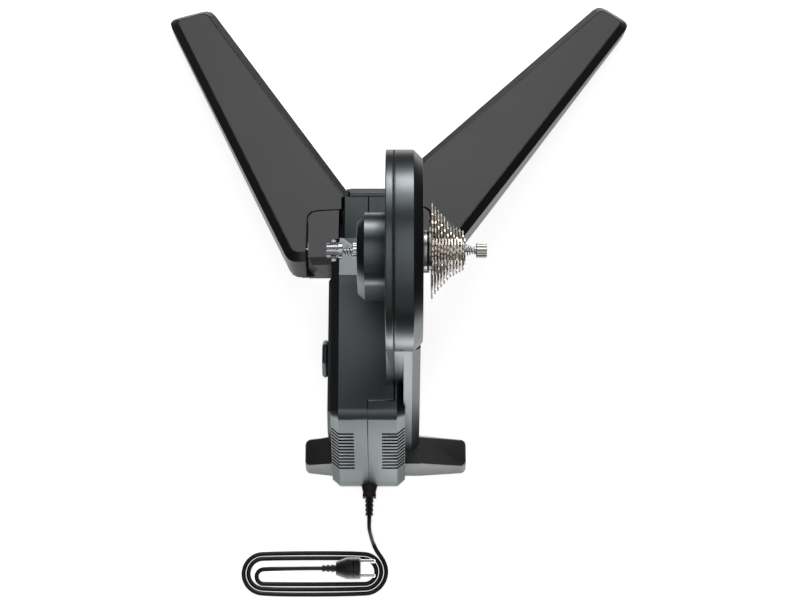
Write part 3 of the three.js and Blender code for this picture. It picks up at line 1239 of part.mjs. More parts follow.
// The plug lies on the edge of its round body, its two pins side by side
function buildPlug() {
  const { reliefX, reliefLength, reliefRadius, reliefEnd, ribs, ribShare, ribDepth, backRadius,
    backLength } = plug;
  const { radius, bodyLength, edge, pinLength, pinRadius, pinSpacing, pinSides } = plug;
  const y = bundle.centreY + bundle.lastRise;
  const bodyX = reliefX + reliefLength;
  const faceX = bodyX + bodyLength;
  const profile = ribbedProfile(reliefX, bodyX, reliefEnd, reliefRadius, ribs, ribShare, ribDepth);
  profile.push([reliefRadius - ribDepth, bodyX], [backRadius, bodyX], [radius, bodyX + backLength],
    [radius, faceX - edge],
    [radius - edge, faceX], [0, faceX]);
  let whole = solidFrom(revolveGeometry(profile, cogSides).translate(0, y, radius));
  for (const side of [-1, 1]) {
    const pin = revolveGeometry([
      [0, faceX - overrun], [pinRadius, faceX - overrun], [pinRadius, faceX + pinLength - edge],
      [pinRadius - edge, faceX + pinLength], [0, faceX + pinLength],
    ], pinSides).translate(0, y + (side * pinSpacing) / 2, radius);
    whole = whole.add(solidFrom(pin));
  }
  addPiece('mains_plug', whole, cableBlack);
}

buildHousing();
buildBase();
buildFoot();
buildWing(leftWing, 'left');
buildWing(rightWing, 'right');
buildMotor();
buildAxle();
buildCassette();
buildQuickRelease();
buildElectronics();
buildInlet();

// The origin is on the floor under the middle of the object's box, taken without the lead
const bounds = new THREE.Box3().setFromObject(trainer);
buildConnector();
buildLead();
buildPlug();
const middle = bounds.getCenter(new THREE.Vector3());
trainer.position.set(-middle.x, -middle.y, 0);

export default trainer;
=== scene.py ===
# Looks for the direct drive trainer, in metres, +X to the cassette side, +Y forwards, floor at Z = 0
import json
import math

import bmesh
import bpy
from mathutils import Matrix, Vector

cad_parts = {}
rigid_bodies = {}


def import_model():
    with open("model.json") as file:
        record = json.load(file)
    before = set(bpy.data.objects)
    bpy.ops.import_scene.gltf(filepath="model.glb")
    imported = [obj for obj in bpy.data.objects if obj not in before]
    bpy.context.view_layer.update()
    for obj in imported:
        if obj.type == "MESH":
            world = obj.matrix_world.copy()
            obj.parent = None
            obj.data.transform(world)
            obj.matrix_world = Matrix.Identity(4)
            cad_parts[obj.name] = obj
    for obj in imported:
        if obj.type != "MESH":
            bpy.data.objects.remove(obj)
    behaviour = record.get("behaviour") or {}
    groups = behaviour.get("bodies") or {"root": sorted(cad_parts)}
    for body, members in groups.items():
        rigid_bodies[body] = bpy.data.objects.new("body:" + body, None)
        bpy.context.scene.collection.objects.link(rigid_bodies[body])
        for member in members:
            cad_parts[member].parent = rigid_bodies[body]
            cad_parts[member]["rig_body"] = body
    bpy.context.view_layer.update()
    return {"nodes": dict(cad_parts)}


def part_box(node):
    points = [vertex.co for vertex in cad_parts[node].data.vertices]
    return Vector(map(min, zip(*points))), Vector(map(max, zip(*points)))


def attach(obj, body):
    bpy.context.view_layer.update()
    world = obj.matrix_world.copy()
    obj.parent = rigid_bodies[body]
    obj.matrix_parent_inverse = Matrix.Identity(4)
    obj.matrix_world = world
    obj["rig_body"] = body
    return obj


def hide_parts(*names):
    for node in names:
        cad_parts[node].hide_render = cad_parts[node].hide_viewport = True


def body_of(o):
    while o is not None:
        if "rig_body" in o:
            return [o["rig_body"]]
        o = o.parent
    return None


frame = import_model()
bodyOf = {name: body_of(node)[0] for name, node in frame["nodes"].items()}
scene = bpy.context.scene
scene.view_settings.view_transform = "Standard"

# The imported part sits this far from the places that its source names
packed = Vector((0.0016053, 0.0025784, 0))
axle = {"y": -0.146 + packed.y, "z": 0.338}


# Camera: above and behind, 20 degrees off the vertical
cameraSetup = {
    "place": (0.0016053, -1.0200, 2.573),
    "tilt": math.radians(20),
    "lens": 90,
    "sensor": 36,
}


def addCamera():
    data = bpy.data.cameras.new("camera")
    data.lens = cameraSetup["lens"]
    data.sensor_width = cameraSetup["sensor"]
    camera = bpy.data.objects.new("camera", data)
    scene.collection.objects.link(camera)
    camera.location = cameraSetup["place"]
    camera.rotation_euler = (cameraSetup["tilt"], 0, 0)
    scene.camera = camera


addCamera()
print("camera placed")


# Node helpers
def newGroup(name, inputs, outputs):
    group = bpy.data.node_groups.new(name, "ShaderNodeTree")
    for label, kind, value in inputs:
        socket = group.interface.new_socket(label, in_out="INPUT", socket_type=kind)
        if value is not None:
            socket.default_value = value
    for label, kind in outputs:
        group.interface.new_socket(label, in_out="OUTPUT", socket_type=kind)
    start = group.nodes.new("NodeGroupInput")
    end = group.nodes.new("NodeGroupOutput")
    return group, start, end


def addNode(tree, kind, **settings):
    node = tree.nodes.new(kind)
    for label, value in settings.items():
        setattr(node, label, value)
    return node


def noiseNode(tree, scale, detail, roughness):
    noise = addNode(tree, "ShaderNodeTexNoise")
    noise.inputs["Scale"].default_value = scale
    noise.inputs["Detail"].default_value = detail
    noise.inputs["Roughness"].default_value = roughness
    return noise


grain = {
    "slowScale": 9, "slowDetail": 3, "slowRoughness": 0.55, "fineScale": 900, "fineDetail": 2,
    "fineRoughness": 0.5, "middle": 0.5,
}
brushing = {
    "strokeScale": 1600, "patchScale": 60, "detail": 3, "roughness": 0.6, "toneChange": 0.3,
    "toneBase": 0.85,
}


# Moulded or coated surface: a fine grain as height, and slow changes of tone and gloss
def grainGroup():
    group, start, end = newGroup("surfaceGrain", [
        ("Place", "NodeSocketVector", None),
        ("Color", "NodeSocketColor", (0.1, 0.1, 0.1, 1)),
        ("Tone", "NodeSocketFloat", 0.06),
        ("Grain Scale", "NodeSocketFloat", 900),
        ("Gloss", "NodeSocketFloat", 0.4),
        ("Gloss Change", "NodeSocketFloat", 0.08),
    ], [
        ("Color", "NodeSocketColor"), ("Roughness", "NodeSocketFloat"), ("Height", "NodeSocketFloat"),
    ])
    links = group.links
    slow = noiseNode(group, grain["slowScale"], grain["slowDetail"], grain["slowRoughness"])
    fine = noiseNode(group, grain["fineScale"], grain["fineDetail"], grain["fineRoughness"])
    links.new(start.outputs["Place"], slow.inputs["Vector"])
    links.new(start.outputs["Place"], fine.inputs["Vector"])
    links.new(start.outputs["Grain Scale"], fine.inputs["Scale"])
    centred = addNode(group, "ShaderNodeMath", operation="SUBTRACT")
    centred.inputs[1].default_value = grain["middle"]
    links.new(slow.outputs["Fac"], centred.inputs[0])
    tone = addNode(group, "ShaderNodeMath", operation="MULTIPLY_ADD")
    tone.inputs[2].default_value = 1
    links.new(centred.outputs[0], tone.inputs[0])
    links.new(start.outputs["Tone"], tone.inputs[1])
    tinted = addNode(group, "ShaderNodeVectorMath", operation="SCALE")
    links.new(start.outputs["Color"], tinted.inputs[0])
    links.new(tone.outputs[0], tinted.inputs["Scale"])
    gloss = addNode(group, "ShaderNodeMath", operation="MULTIPLY_ADD")
    links.new(centred.outputs[0], gloss.inputs[0])
    links.new(start.outputs["Gloss Change"], gloss.inputs[1])
    links.new(start.outputs["Gloss"], gloss.inputs[2])
    links.new(tinted.outputs[0], end.inputs["Color"])
    links.new(gloss.outputs[0], end.inputs["Roughness"])
    links.new(fine.outputs["Fac"], end.inputs["Height"])
    return group


# Machined metal: fine rings or strokes as a height and a change of gloss
def brushedGroup():
    group, start, end = newGroup("brushedMetal", [
        ("Place", "NodeSocketVector", None),
        ("Color", "NodeSocketColor", (0.6, 0.6, 0.6, 1)),
        ("Stretch", "NodeSocketVector", (1, 0.05, 0.05)),
        ("Gloss", "NodeSocketFloat", 0.25),
        ("Gloss Change", "NodeSocketFloat", 0.15),
    ], [
        ("Color", "NodeSocketColor"), ("Roughness", "NodeSocketFloat"), ("Height", "NodeSocketFloat"),
    ])
    links = group.links
    stretched = addNode(group, "ShaderNodeVectorMath", operation="MULTIPLY")
    links.new(start.outputs["Place"], stretched.inputs[0])
    links.new(start.outputs["Stretch"], stretched.inputs[1])
    strokes = noiseNode(group, brushing["strokeScale"], brushing["detail"], brushing["roughness"])
    patches = noiseNode(group, brushing["patchScale"], brushing["detail"], brushing["roughness"])
    links.new(stretched.outputs[0], strokes.inputs["Vector"])
    links.new(start.outputs["Place"], patches.inputs["Vector"])
    mixed = addNode(group, "ShaderNodeMath", operation="MULTIPLY")
    links.new(strokes.outputs["Fac"], mixed.inputs[0])
    links.new(patches.outputs["Fac"], mixed.inputs[1])
    gloss = addNode(group, "ShaderNodeMath", operation="MULTIPLY_ADD")
    links.new(mixed.outputs[0], gloss.inputs[0])
    links.new(start.outputs["Gloss Change"], gloss.inputs[1])
    links.new(start.outputs["Gloss"], gloss.inputs[2])
    tone = addNode(group, "ShaderNodeMath", operation="MULTIPLY_ADD")
    tone.inputs[1].default_value = brushing["toneChange"]
    tone.inputs[2].default_value = brushing["toneBase"]
    links.new(patches.outputs["Fac"], tone.inputs[0])
    tinted = addNode(group, "ShaderNodeVectorMath", operation="SCALE")
    links.new(start.outputs["Color"], tinted.inputs[0])
    links.new(tone.outputs[0], tinted.inputs["Scale"])
    links.new(tinted.outputs[0], end.inputs["Color"])
    links.new(gloss.outputs[0], end.inputs["Roughness"])
    links.new(strokes.outputs["Fac"], end.inputs["Height"])
    return group


surfaceGrain = grainGroup()
brushedMetal = brushedGroup()


def newMaterial(name, group, values, bump, distance, metallic=0.0, specular=0.5, **sockets):
    material = bpy.data.materials.new(name)
    material.use_nodes = True
    tree = material.node_tree
    shader = tree.nodes["Principled BSDF"]
    shader.inputs["Metallic"].default_value = metallic
    shader.inputs["Specular IOR Level"].default_value = specular
    for label, value in sockets.items():
        shader.inputs[label.replace("_", " ")].default_value = value
    place = tree.nodes.new("ShaderNodeTexCoord")
    effect = tree.nodes.new("ShaderNodeGroup")
    effect.node_tree = group
    for label, value in values.items():
        effect.inputs[label].default_value = value
    height = tree.nodes.new("ShaderNodeBump")
    height.inputs["Strength"].default_value = bump
    height.inputs["Distance"].default_value = distance
    tree.links.new(place.outputs["Object"], effect.inputs["Place"])
    tree.links.new(effect.outputs["Color"], shader.inputs["Base Color"])
    tree.links.new(effect.outputs["Roughness"], shader.inputs["Roughness"])
    tree.links.new(effect.outputs["Height"], height.inputs["Height"])
    tree.links.new(height.outputs["Normal"], shader.inputs["Normal"])
    return material


def grained(name, color, gloss, scale, bump, distance=0.0002, tone=0.1, change=0.08, **more):
    values = {
        "Color": (*color, 1), "Gloss": gloss, "Grain Scale": scale, "Tone": tone, "Gloss Change": change,
    }
    return newMaterial(name, surfaceGrain, values, bump, distance, **more)


def brushed(name, color, gloss, stretch=(1, 0.05, 0.05), change=0.15, bump=0.15, distance=0.0001):
    values = {"Color": (*color, 1), "Gloss": gloss, "Stretch": stretch, "Gloss Change": change}
    return newMaterial(name, brushedMetal, values, bump, distance, metallic=1.0)


materials = {
    "shellPaint": grained("shellPaint", (0.008, 0.010, 0.011), gloss=0.34, scale=1400, bump=0.1,
                          specular=1.0, Specular_Tint=(0.86, 0.96, 1.0, 1)),
    "wingCoat": grained("wingCoat", (0.0075, 0.0075, 0.0078), gloss=0.34, scale=1500, bump=0.3,
                        specular=0.55),
    "panelGrip": grained("panelGrip", (0.046, 0.046, 0.047), gloss=0.62, scale=700, bump=0.6, tone=0.12),
    "coverPlate": grained("coverPlate", (0.036, 0.036, 0.038), gloss=0.55, scale=900, bump=0.5, tone=0.1),
    "castPaint": grained("castPaint", (0.009, 0.010, 0.011), gloss=0.46, scale=800, bump=0.5, tone=0.15,
                         specular=0.7),
    # Light grey standing in for the white floor seen in the foot's sloped rims: a painted reflection
    "footRimPaintedReflection": grained("footRimPaintedReflection", (0.32, 0.33, 0.335), gloss=0.28, scale=900, bump=0.2, specular=1.0),
    "polishedSteel": brushed("polishedSteel", (0.30, 0.31, 0.325), gloss=0.17),
    "satinSteel": brushed("satinSteel", (0.42, 0.43, 0.44), gloss=0.3),
    "nickelPlate": brushed("nickelPlate", (0.43, 0.39, 0.345), gloss=0.22, stretch=(0.05, 1, 1)),
    "darkMetal": brushed("darkMetal", (0.30, 0.29, 0.27), gloss=0.28),
    "magnetPlate": brushed("magnetPlate", (0.55, 0.55, 0.56), gloss=0.3),
    "rubberPad": grained("rubberPad", (0.012, 0.012, 0.012), gloss=0.75, scale=600, bump=0.6, specular=0.3),
    "copperWire": brushed("copperWire", (0.60, 0.27, 0.13), gloss=0.3, stretch=(1, 0.02, 0.02)),
    "boardLacquer": grained("boardLacquer", (0.012, 0.085, 0.035), gloss=0.3, scale=400, bump=0.2),
    "cablePlastic": grained("cablePlastic", (0.006, 0.006, 0.0065), gloss=0.44, scale=900, bump=0.3,
                            specular=0.35),
}
print("materials made")


# Piece helpers: how near counts as one point, and which angles count as edges
join = {"distance": 2e-6, "spinDistance": 1e-6, "angle": math.radians(0.6)}
edgeAngles = {"smooth": math.radians(32), "sharp": math.radians(28)}
flatRule = {"areaRatio": 20, "angle": math.radians(2)}
near = 1e-5


def setMaterial(obj, finish):
    obj.data.materials.clear()
    obj.data.materials.append(materials[finish])


def newPiece(name, mesh, body, slot, finish, *nodes):
    piece = bpy.data.objects.new(name, mesh)
    scene.collection.objects.link(piece)
    setMaterial(piece, finish)
    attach(piece, body)
    if nodes:
        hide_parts(*nodes)
    return piece


def meshFrom(bm, name):
    bmesh.ops.recalc_face_normals(bm, faces=bm.faces[:])
    for edge in bm.edges:
        edge.smooth = len(edge.link_faces) == 2 and edge.calc_face_angle(0) < edgeAngles["smooth"]
    for face in bm.faces:
        face.smooth = True
    mesh = bpy.data.meshes.new(name)
    bm.to_mesh(mesh)
    bm.free()
    return mesh


# Spins (radius, x) pairs about a line along X through the given place, into the given bmesh
def spinProfile(bm, profile, place, steps, closed=False):
    corners = [bm.verts.new(Vector(place) + Vector((x, 0, radius))) for radius, x in profile]
    pairs = list(zip(corners, corners[1:])) + ([(corners[-1], corners[0])] if closed else [])
    edges = [bm.edges.new(pair) for pair in pairs]
    bmesh.ops.spin(bm, geom=corners + edges, cent=place, axis=(1, 0, 0), angle=2 * math.pi,
                   steps=steps, use_merge=True)
    bmesh.ops.remove_doubles(bm, verts=bm.verts[:], dist=join["spinDistance"])


# A copy of a CAD node's mesh with its loose triangles joined into its real faces
def joinedCopy(node):
    bm = bmesh.new()
    bm.from_mesh(frame["nodes"][node].data)
    bmesh.ops.remove_doubles(bm, verts=bm.verts[:], dist=join["distance"])
    bmesh.ops.dissolve_limit(bm, angle_limit=join["angle"], use_dissolve_boundaries=False,
                             verts=bm.verts[:], edges=bm.edges[:])
    return bm


def isSharp(edge, angle):
    return len(edge.link_faces) == 2 and edge.calc_face_angle(0) > angle


def roundEdges(bm, edges, width, segments):
    if edges:
        bmesh.ops.bevel(bm, geom=edges, offset=width, offset_type="OFFSET", segments=segments, profile=0.5,
                        affect="EDGES", clamp_overlap=False, material=-1)


def addBevel(piece, width, segments):
    bevel = piece.modifiers.new("bevel", "BEVEL")
    bevel.width = width
    bevel.segments = segments
    bevel.limit_method = "ANGLE"
    bevel.angle_limit = edgeAngles["sharp"]
    bevel.use_clamp_overlap = True
    bevel.harden_normals = True
    bevel.miter_outer = "MITER_ARC"


# A large flat face beside a narrow rounding keeps its own normals
def meetsFlat(edge):
    areas = sorted(face.calc_area() for face in edge.link_faces)
    return areas[1] > flatRule["areaRatio"] * areas[0] and edge.calc_face_angle(0) > flatRule["angle"]


def isSmooth(edge):
    shallow = len(edge.link_faces) == 2 and edge.calc_face_angle(0) < edgeAngles["sharp"]
    return shallow and not meetsFlat(edge)


def finishCopy(bm, node, slot, finish, width, segments=2):
    for edge in bm.edges:
        edge.smooth = isSmooth(edge)
    for face in bm.faces:
        face.smooth = True
    mesh = bpy.data.meshes.new(node + ".look")
    bm.to_mesh(mesh)
    bm.free()
    piece = newPiece(node + ".look", mesh, bodyOf[node], slot, finish, node)
    addBevel(piece, width, segments)
    return piece


# Copies a CAD node's mesh, joins its loose triangles and rounds its sharp edges
def dress(node, slot, finish, width, segments=2):
    return finishCopy(joinedCopy(node), node, slot, finish, width, segments)


# The lead: straight out of the connector, down to the floor, three long loops, and into the plug
lead = {
    "exit": (-0.040, -0.3963, 0.032),
    "leave": (-0.040, -0.4022, 0.032),
    "route": [
        (-0.040, -0.4115, 0.029), (-0.038, -0.420, 0.020), (-0.0345, -0.429, 0.010),
        (-0.0305, -0.4365, 0.0046),
    ],
    "radius": 0.0028,
    "length": 1.151,
    "resolution": 6,
}
loops = {
    "centre": (-0.1125, -0.465), "outerRadius": 0.031, "straight": 0.130, "pitch": 0.0064,
    "startAngle": math.pi / 6, "count": 3, "steps": 9, "lastRise": 0.003, "lastStraight": 0.012,
    "plugX": -0.101, "plugZ": 0.014,
}


def leadPoints():
    centreX, centreY = loops["centre"]
    half = loops["straight"] / 2
    z = lead["radius"]

    def reachAt(angle):
        return loops["outerRadius"] - loops["pitch"] * (math.pi / 2 - angle) / (2 * math.pi)

    def onArc(angle, side):
        reach = reachAt(angle)
        return Vector((centreX + side * half + reach * math.cos(angle),
                       centreY + reach * math.sin(angle), z))

    points = [Vector(lead["exit"]), Vector(lead["leave"])] + [Vector(place) for place in lead["route"]]
    start = onArc(loops["startAngle"], 1)
    heading = Vector((math.sin(loops["startAngle"]), -math.cos(loops["startAngle"]), 0))
    points.append(start - heading * 2 * z)
    angle = loops["startAngle"]
    for turn in range(loops["count"]):
        bottom = -math.pi / 2 - 2 * math.pi * turn
        steps = math.ceil((angle - bottom) / math.pi * loops["steps"])
        points += [onArc(angle + (bottom - angle) * i / steps, 1) for i in range(steps + 1)]
        if turn + 1 < loops["count"]:
            steps = loops["steps"]
            points += [onArc(bottom - math.pi * i / steps, -1) for i in range(steps + 1)]
        angle = bottom - math.pi
    bottom = -math.pi / 2 - 2 * math.pi * (loops["count"] - 1)
    radius = (reachAt(bottom) + loops["lastRise"]) / 2
    middleY = centreY + loops["lastRise"]
    for i in range(loops["steps"] + 1):
        turn = math.pi * i / loops["steps"]
        points.append(Vector((centreX - half - radius * math.sin(turn),
                              middleY - radius - radius * math.cos(turn),
                              z + (loops["plugZ"] - z) * i / (2 * loops["steps"]))))
    points.append(Vector((loops["plugX"] - loops["lastStraight"], middleY, loops["plugZ"])))
    points.append(Vector((loops["plugX"], middleY, loops["plugZ"])))
    return [point + packed for point in points]


def addLead(pieces):
    data = bpy.data.curves.new("mainsLead", "CURVE")
    data.dimensions = "3D"
    data.bevel_depth = lead["radius"]
    data.bevel_resolution = lead["resolution"]
    data.resolution_u = lead["resolution"]
    data.use_fill_caps = True
    spline = data.splines.new("BEZIER")
    points = leadPoints()
    spline.bezier_points.add(len(points) - 1)
    for knot, point in zip(spline.bezier_points, points):
        knot.co = point
        knot.handle_left_type = "AUTO"
        knot.handle_right_type = "AUTO"
    curve = bpy.data.objects.new("mainsLead", data)
    scene.collection.objects.link(curve)
    data.materials.append(materials["cablePlastic"])
    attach(curve, "base")
    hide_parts("power_cord", "cord_bundle")
    print("lead", round(spline.calc_length(), 4))


# The plug lies on the edge of its round body, with two round pins
plug = {
    "reliefX": -0.101, "middleY": -0.462, "radius": 0.014, "reliefLength": 0.018, "reliefRadius": 0.0052,
    "reliefEnd": 0.0042, "ribs": 3, "ribShare": 0.55, "ribDepth": 0.0009, "backRadius": 0.009,
    "backLength": 0.014, "bodyLength": 0.032, "edge": 0.0012, "grooveAt": 0.022, "groove": 0.0006,
    "pinLength": 0.019, "pinRadius": 0.0024, "pinSpacing": 0.019, "steps": 48, "pinSteps": 20,
}


def addPlug():
    bodyX = plug["reliefLength"]
    faceX = bodyX + plug["bodyLength"]
    pitch = plug["reliefLength"] / plug["ribs"]
    profile = [(0, 0)]
    for i in range(plug["ribs"]):
        share = (i + 1) / plug["ribs"]
        radius = plug["reliefEnd"] + (plug["reliefRadius"] - plug["reliefEnd"]) * share
        ribEnd = (i + plug["ribShare"]) * pitch
        profile += [(radius, i * pitch), (radius, ribEnd), (radius - plug["ribDepth"], ribEnd)]
        profile.append((radius - plug["ribDepth"], (i + 1) * pitch))
    groove = bodyX + plug["grooveAt"]
    profile += [
        (plug["backRadius"], bodyX), (plug["radius"], bodyX + plug["backLength"]), (plug["radius"], groove),
        (plug["radius"] - plug["groove"], groove + plug["groove"]),
        (plug["radius"], groove + 2 * plug["groove"]), (plug["radius"], faceX - plug["edge"]),
        (plug["radius"] - plug["edge"], faceX), (0, faceX),
    ]
    place = Vector((plug["reliefX"], plug["middleY"], plug["radius"])) + packed
    bm = bmesh.new()
    spinProfile(bm, profile, place, plug["steps"])
    body = newPiece("plugBody", meshFrom(bm, "plugBody"), "base", "cable", "cablePlastic", "mains_plug")
    bm = bmesh.new()
    tip = faceX + plug["pinLength"]
    for side in (-1, 1):
        pinPlace = place + Vector((0, side * plug["pinSpacing"] / 2, 0))
        radius = plug["pinRadius"]
        root = faceX - plug["edge"]
        pin = [(0, root), (radius, root), (radius, tip - radius / 2), (radius / 2, tip), (0, tip)]
        spinProfile(bm, pin, pinPlace, plug["pinSteps"])
    pins = newPiece("plugPins", meshFrom(bm, "plugPins"), "base", "cable", "satinSteel", "mains_plug")
    return [body, pins]


connectorEdge = 0.0004
connector = dress("mains_connector", "cable", "cablePlastic", connectorEdge)
addLead([connector, *addPlug()])
print("lead laid")

# What each dressed node looks like: slot, finish, width of its rounded edges
dressed = {
    "side_cap": ("shell_grey", "shellPaint", 0.0012),
    "base_frame": ("cast_black", "castPaint", 0.0010),
    "rear_pad_left": ("rubber", "rubberPad", 0.0006),
    "rear_pad_right": ("rubber", "rubberPad", 0.0006),
    "left_wing": ("wing_black", "wingCoat", 0.0012),
    "right_wing": ("wing_black", "wingCoat", 0.0012),
    "left_wing_panel": ("panel_grey", "panelGrip", 0.0003),
    "right_wing_panel": ("panel_grey", "panelGrip", 0.0003),
    "left_wing_foot": ("rubber", "rubberPad", 0.0006),
    "right_wing_foot": ("rubber", "rubberPad", 0.0006),
    "left_hinge_block": ("cast_black", "castPaint", 0.0008),
    "right_hinge_block": ("cast_black", "castPaint", 0.0008),
    "left_hinge_cover": ("panel_grey", "coverPlate", 0.0006),
    "right_hinge_cover": ("panel_grey", "coverPlate", 0.0006),
    "hub_flange": ("steel", "satinSteel", 0.0006),
    "axle_end_cap_left": ("steel", "polishedSteel", 0.0003),
    "axle_end_cap_right": ("steel", "polishedSteel", 0.0003),
    "cam_housing": ("steel", "polishedSteel", 0.0004),
    "cam_pin": ("steel", "polishedSteel", 0.0004),
    "skewer_lever": ("steel", "polishedSteel", 0.0008),
    "thumb_nut": ("dark_metal", "darkMetal", 0.0005),
    "lockring": ("dark_metal", "darkMetal", 0.0002),
}
for node, (slot, finish, width) in dressed.items():
    dress(node, slot, finish, width)

# Housing halves: a soft crease above the vents, and a groove along the seams
housing = {
    "seamX": -0.041, "discSeamX": -0.0071, "seamRearY": -0.2816, "seamFrontY": -0.028, "seamReach": 0.0004,
    "groove": 0.0008, "creaseY": -0.302, "creaseZ": 0.170, "creaseReach": 0.011, "crease": 0.009,
    "creaseSegments": 8, "creaseAngle": math.radians(20), "leastCreaseShare": 1 / 3,
    "seamAngle": math.radians(60),
    "seamSegments": 2, "leastSeam": 0.0032, "edge": 0.0006,
}


def onSeam(edge):
    for place in [vert.co - packed for vert in edge.verts]:
        gaps = (place.x - housing["seamX"], place.x - housing["discSeamX"],
                place.y - housing["seamRearY"], place.y - housing["seamFrontY"])
        if min(abs(gap) for gap in gaps) >= housing["seamReach"]:
            return False
    return True


def onCrease(edge):
    places = [vert.co - packed for vert in edge.verts]
    reach = housing["creaseReach"]
    return (all(abs(place.y - housing["creaseY"]) < reach for place in places)
            and all(abs(place.z - housing["creaseZ"]) < reach for place in places)
            and abs(places[0].x - places[1].x) > housing["creaseReach"] * housing["leastCreaseShare"])


def addHousing(node):
    bm = joinedCopy(node)
    crease = [edge for edge in bm.edges if isSharp(edge, housing["creaseAngle"]) and onCrease(edge)]
    roundEdges(bm, crease, housing["crease"], housing["creaseSegments"])
    seams = [edge for edge in bm.edges if isSharp(edge, housing["seamAngle"]) and onSeam(edge)]
    seams = [edge for edge in seams if edge.calc_length() > housing["leastSeam"]]
    roundEdges(bm, seams, housing["groove"], housing["seamSegments"])
    finishCopy(bm, node, "shell_grey", "shellPaint", housing["edge"])


addHousing("left_housing")
addHousing("right_housing")

# Round shells of the motor disc, and the drum over the left end of the axle
disc = {
    "radius": 0.1212, "leftX": -0.0172, "rightX": 0.0272, "wall": 0.0027, "faceWall": 0.0017,
    "chamfer": 0.011, "grooveLeftX": -0.0081, "grooveRightX": -0.0063, "edge": 0.0012, "leftHole": 0.040,
    "rightHole": 0.0225, "grooveShadeDepth": 0.00014, "steps": 180, "arcSteps": 4, "bevelSegments": 3,
}
drum = {
    "radius": 0.0455, "drop": 0.043, "leftX": -0.0515, "rightX": -0.0160, "chamfer": 0.009, "inset": 0.008,
    "sides": 128, "edge": 0.0014, "edgeSegments": 3, "rimAngle": math.radians(30),
}


# A quarter round at (radius, x), entered along the radius and left along x
def cornerArc(radius, x, towardsRadius, towardsX, size):
    points = []
    for i in range(disc["arcSteps"] + 1):
        angle = math.pi / 2 * i / disc["arcSteps"]
        points.append((radius + towardsRadius * size * (1 - math.sin(angle)),
                       x + towardsX * size * (1 - math.cos(angle))))
    return points


def leftShellProfile():
    radius, edge, hole = disc["radius"], disc["edge"], disc["leftHole"]
    faceX = disc["leftX"]
    insideX = faceX + disc["faceWall"]
    grooveX = disc["grooveLeftX"]
    inside = radius - disc["wall"]
    return [(hole, faceX), *cornerArc(radius, faceX, -1, 1, edge),
            *reversed(cornerArc(radius, grooveX, -1, -1, edge)), (inside, grooveX), (inside, insideX),
            (hole, insideX)]


def rightShellProfile():
    radius, chamfer, hole = disc["radius"], disc["chamfer"], disc["rightHole"]
    faceX = disc["rightX"]
    insideX = faceX - disc["faceWall"]
    grooveX = disc["grooveRightX"]
    inside = radius - disc["wall"]
    return [*cornerArc(radius, grooveX, -1, 1, disc["edge"]), (radius, faceX - chamfer),
            (radius - chamfer, faceX), (hole, faceX), (hole, insideX),
            (radius - chamfer - disc["faceWall"] / 2, insideX), (inside, insideX - chamfer),
            (inside, grooveX)]


# A dark rubber ring almost flush in the groove between the shells, standing in for the groove's shade:
# painted shade
def grooveShadeProfile():
    outside = disc["radius"] - disc["grooveShadeDepth"]
    inside = disc["radius"] - disc["wall"]
    leftX, rightX = disc["grooveLeftX"], disc["grooveRightX"]
    return [(outside, leftX), (outside, rightX), (inside, rightX), (inside, leftX)]


def addRing(name, profile, slot, finish, node):
    bm = bmesh.new()
    spinProfile(bm, profile, (packed.x, axle["y"], axle["z"]), disc["steps"], closed=True)
    return newPiece(name, meshFrom(bm, name), "base", slot, finish, node)


def addDisc():
    # The dark ring in the groove is painted shade
    addRing("discGrooveShade", grooveShadeProfile(), "rubber", "rubberPad", "left_housing")
    left = addRing("discShellLeft", leftShellProfile(), "shell_grey", "shellPaint", "left_housing")
    right = addRing("discShellRight", rightShellProfile(), "shell_grey", "shellPaint", "right_housing")
    for shell in (left, right):
        addBevel(shell, disc["edge"] / 2, disc["bevelSegments"])


def addDrum():
    bm = bmesh.new()
    turn = Matrix.Rotation(math.pi / 2, 4, "Y")
    bmesh.ops.create_circle(bm, cap_ends=True, segments=drum["sides"], radius=drum["radius"], matrix=turn)
    lower = [vert for vert in bm.verts if vert.co.z < -near]
    bmesh.ops.translate(bm, verts=lower, vec=(0, 0, -drum["drop"]))
    bmesh.ops.translate(bm, verts=bm.verts[:], vec=(drum["rightX"], 0, 0))
    caps = bm.faces[:]
    faceShare = 1 - drum["inset"] / drum["radius"]
    for x, share in ((drum["leftX"] + drum["chamfer"], 1), (drum["leftX"], faceShare)):
        grown = bmesh.ops.extrude_face_region(bm, geom=caps)
        caps = [item for item in grown["geom"] if isinstance(item, bmesh.types.BMFace)]
        ring = [item for item in grown["geom"] if isinstance(item, bmesh.types.BMVert)]
        for vert in ring:
            vert.co.x = x
            middle = -drum["drop"] if vert.co.z < -near else 0
            vert.co.y *= share
            vert.co.z = middle + (vert.co.z - middle) * share
    rims = [edge for edge in bm.edges
            if isSharp(edge, drum["rimAngle"]) and edge.verts[0].co.x < drum["rightX"]]
    roundEdges(bm, rims, drum["edge"], drum["edgeSegments"])
    bmesh.ops.translate(bm, verts=bm.verts[:], vec=(packed.x, axle["y"], axle["z"]))
    newPiece("hubDrum", meshFrom(bm, "hubDrum"), "base", "shell_grey", "shellPaint", "left_housing")


addDisc()
addDrum()
print("disc and drum rounded")

# Rear foot: sloped rims in light grey, a painted reflection of the white floor, around a dark top, its
# raised middle under the tail
foot = {
    "leftX": -0.125, "rightX": 0.087, "middleLeftX": -0.090, "middleRightX": 0.026,
    "frontY": -0.281, "rearY": -0.3365, "endFrontY": -0.290, "endRearY": -0.3325,
    "topFrontY": -0.2925, "topRearY": -0.3285, "bottomZ": 0.008, "endTopZ": 0.027, "topZ": 0.0397,
    "corner": 0.007, "cornerSegments": 6, "edge": 0.0012, "edgeSegments": 2, "topNormal": 0.9,
    "rimAngle": math.radians(15),
}


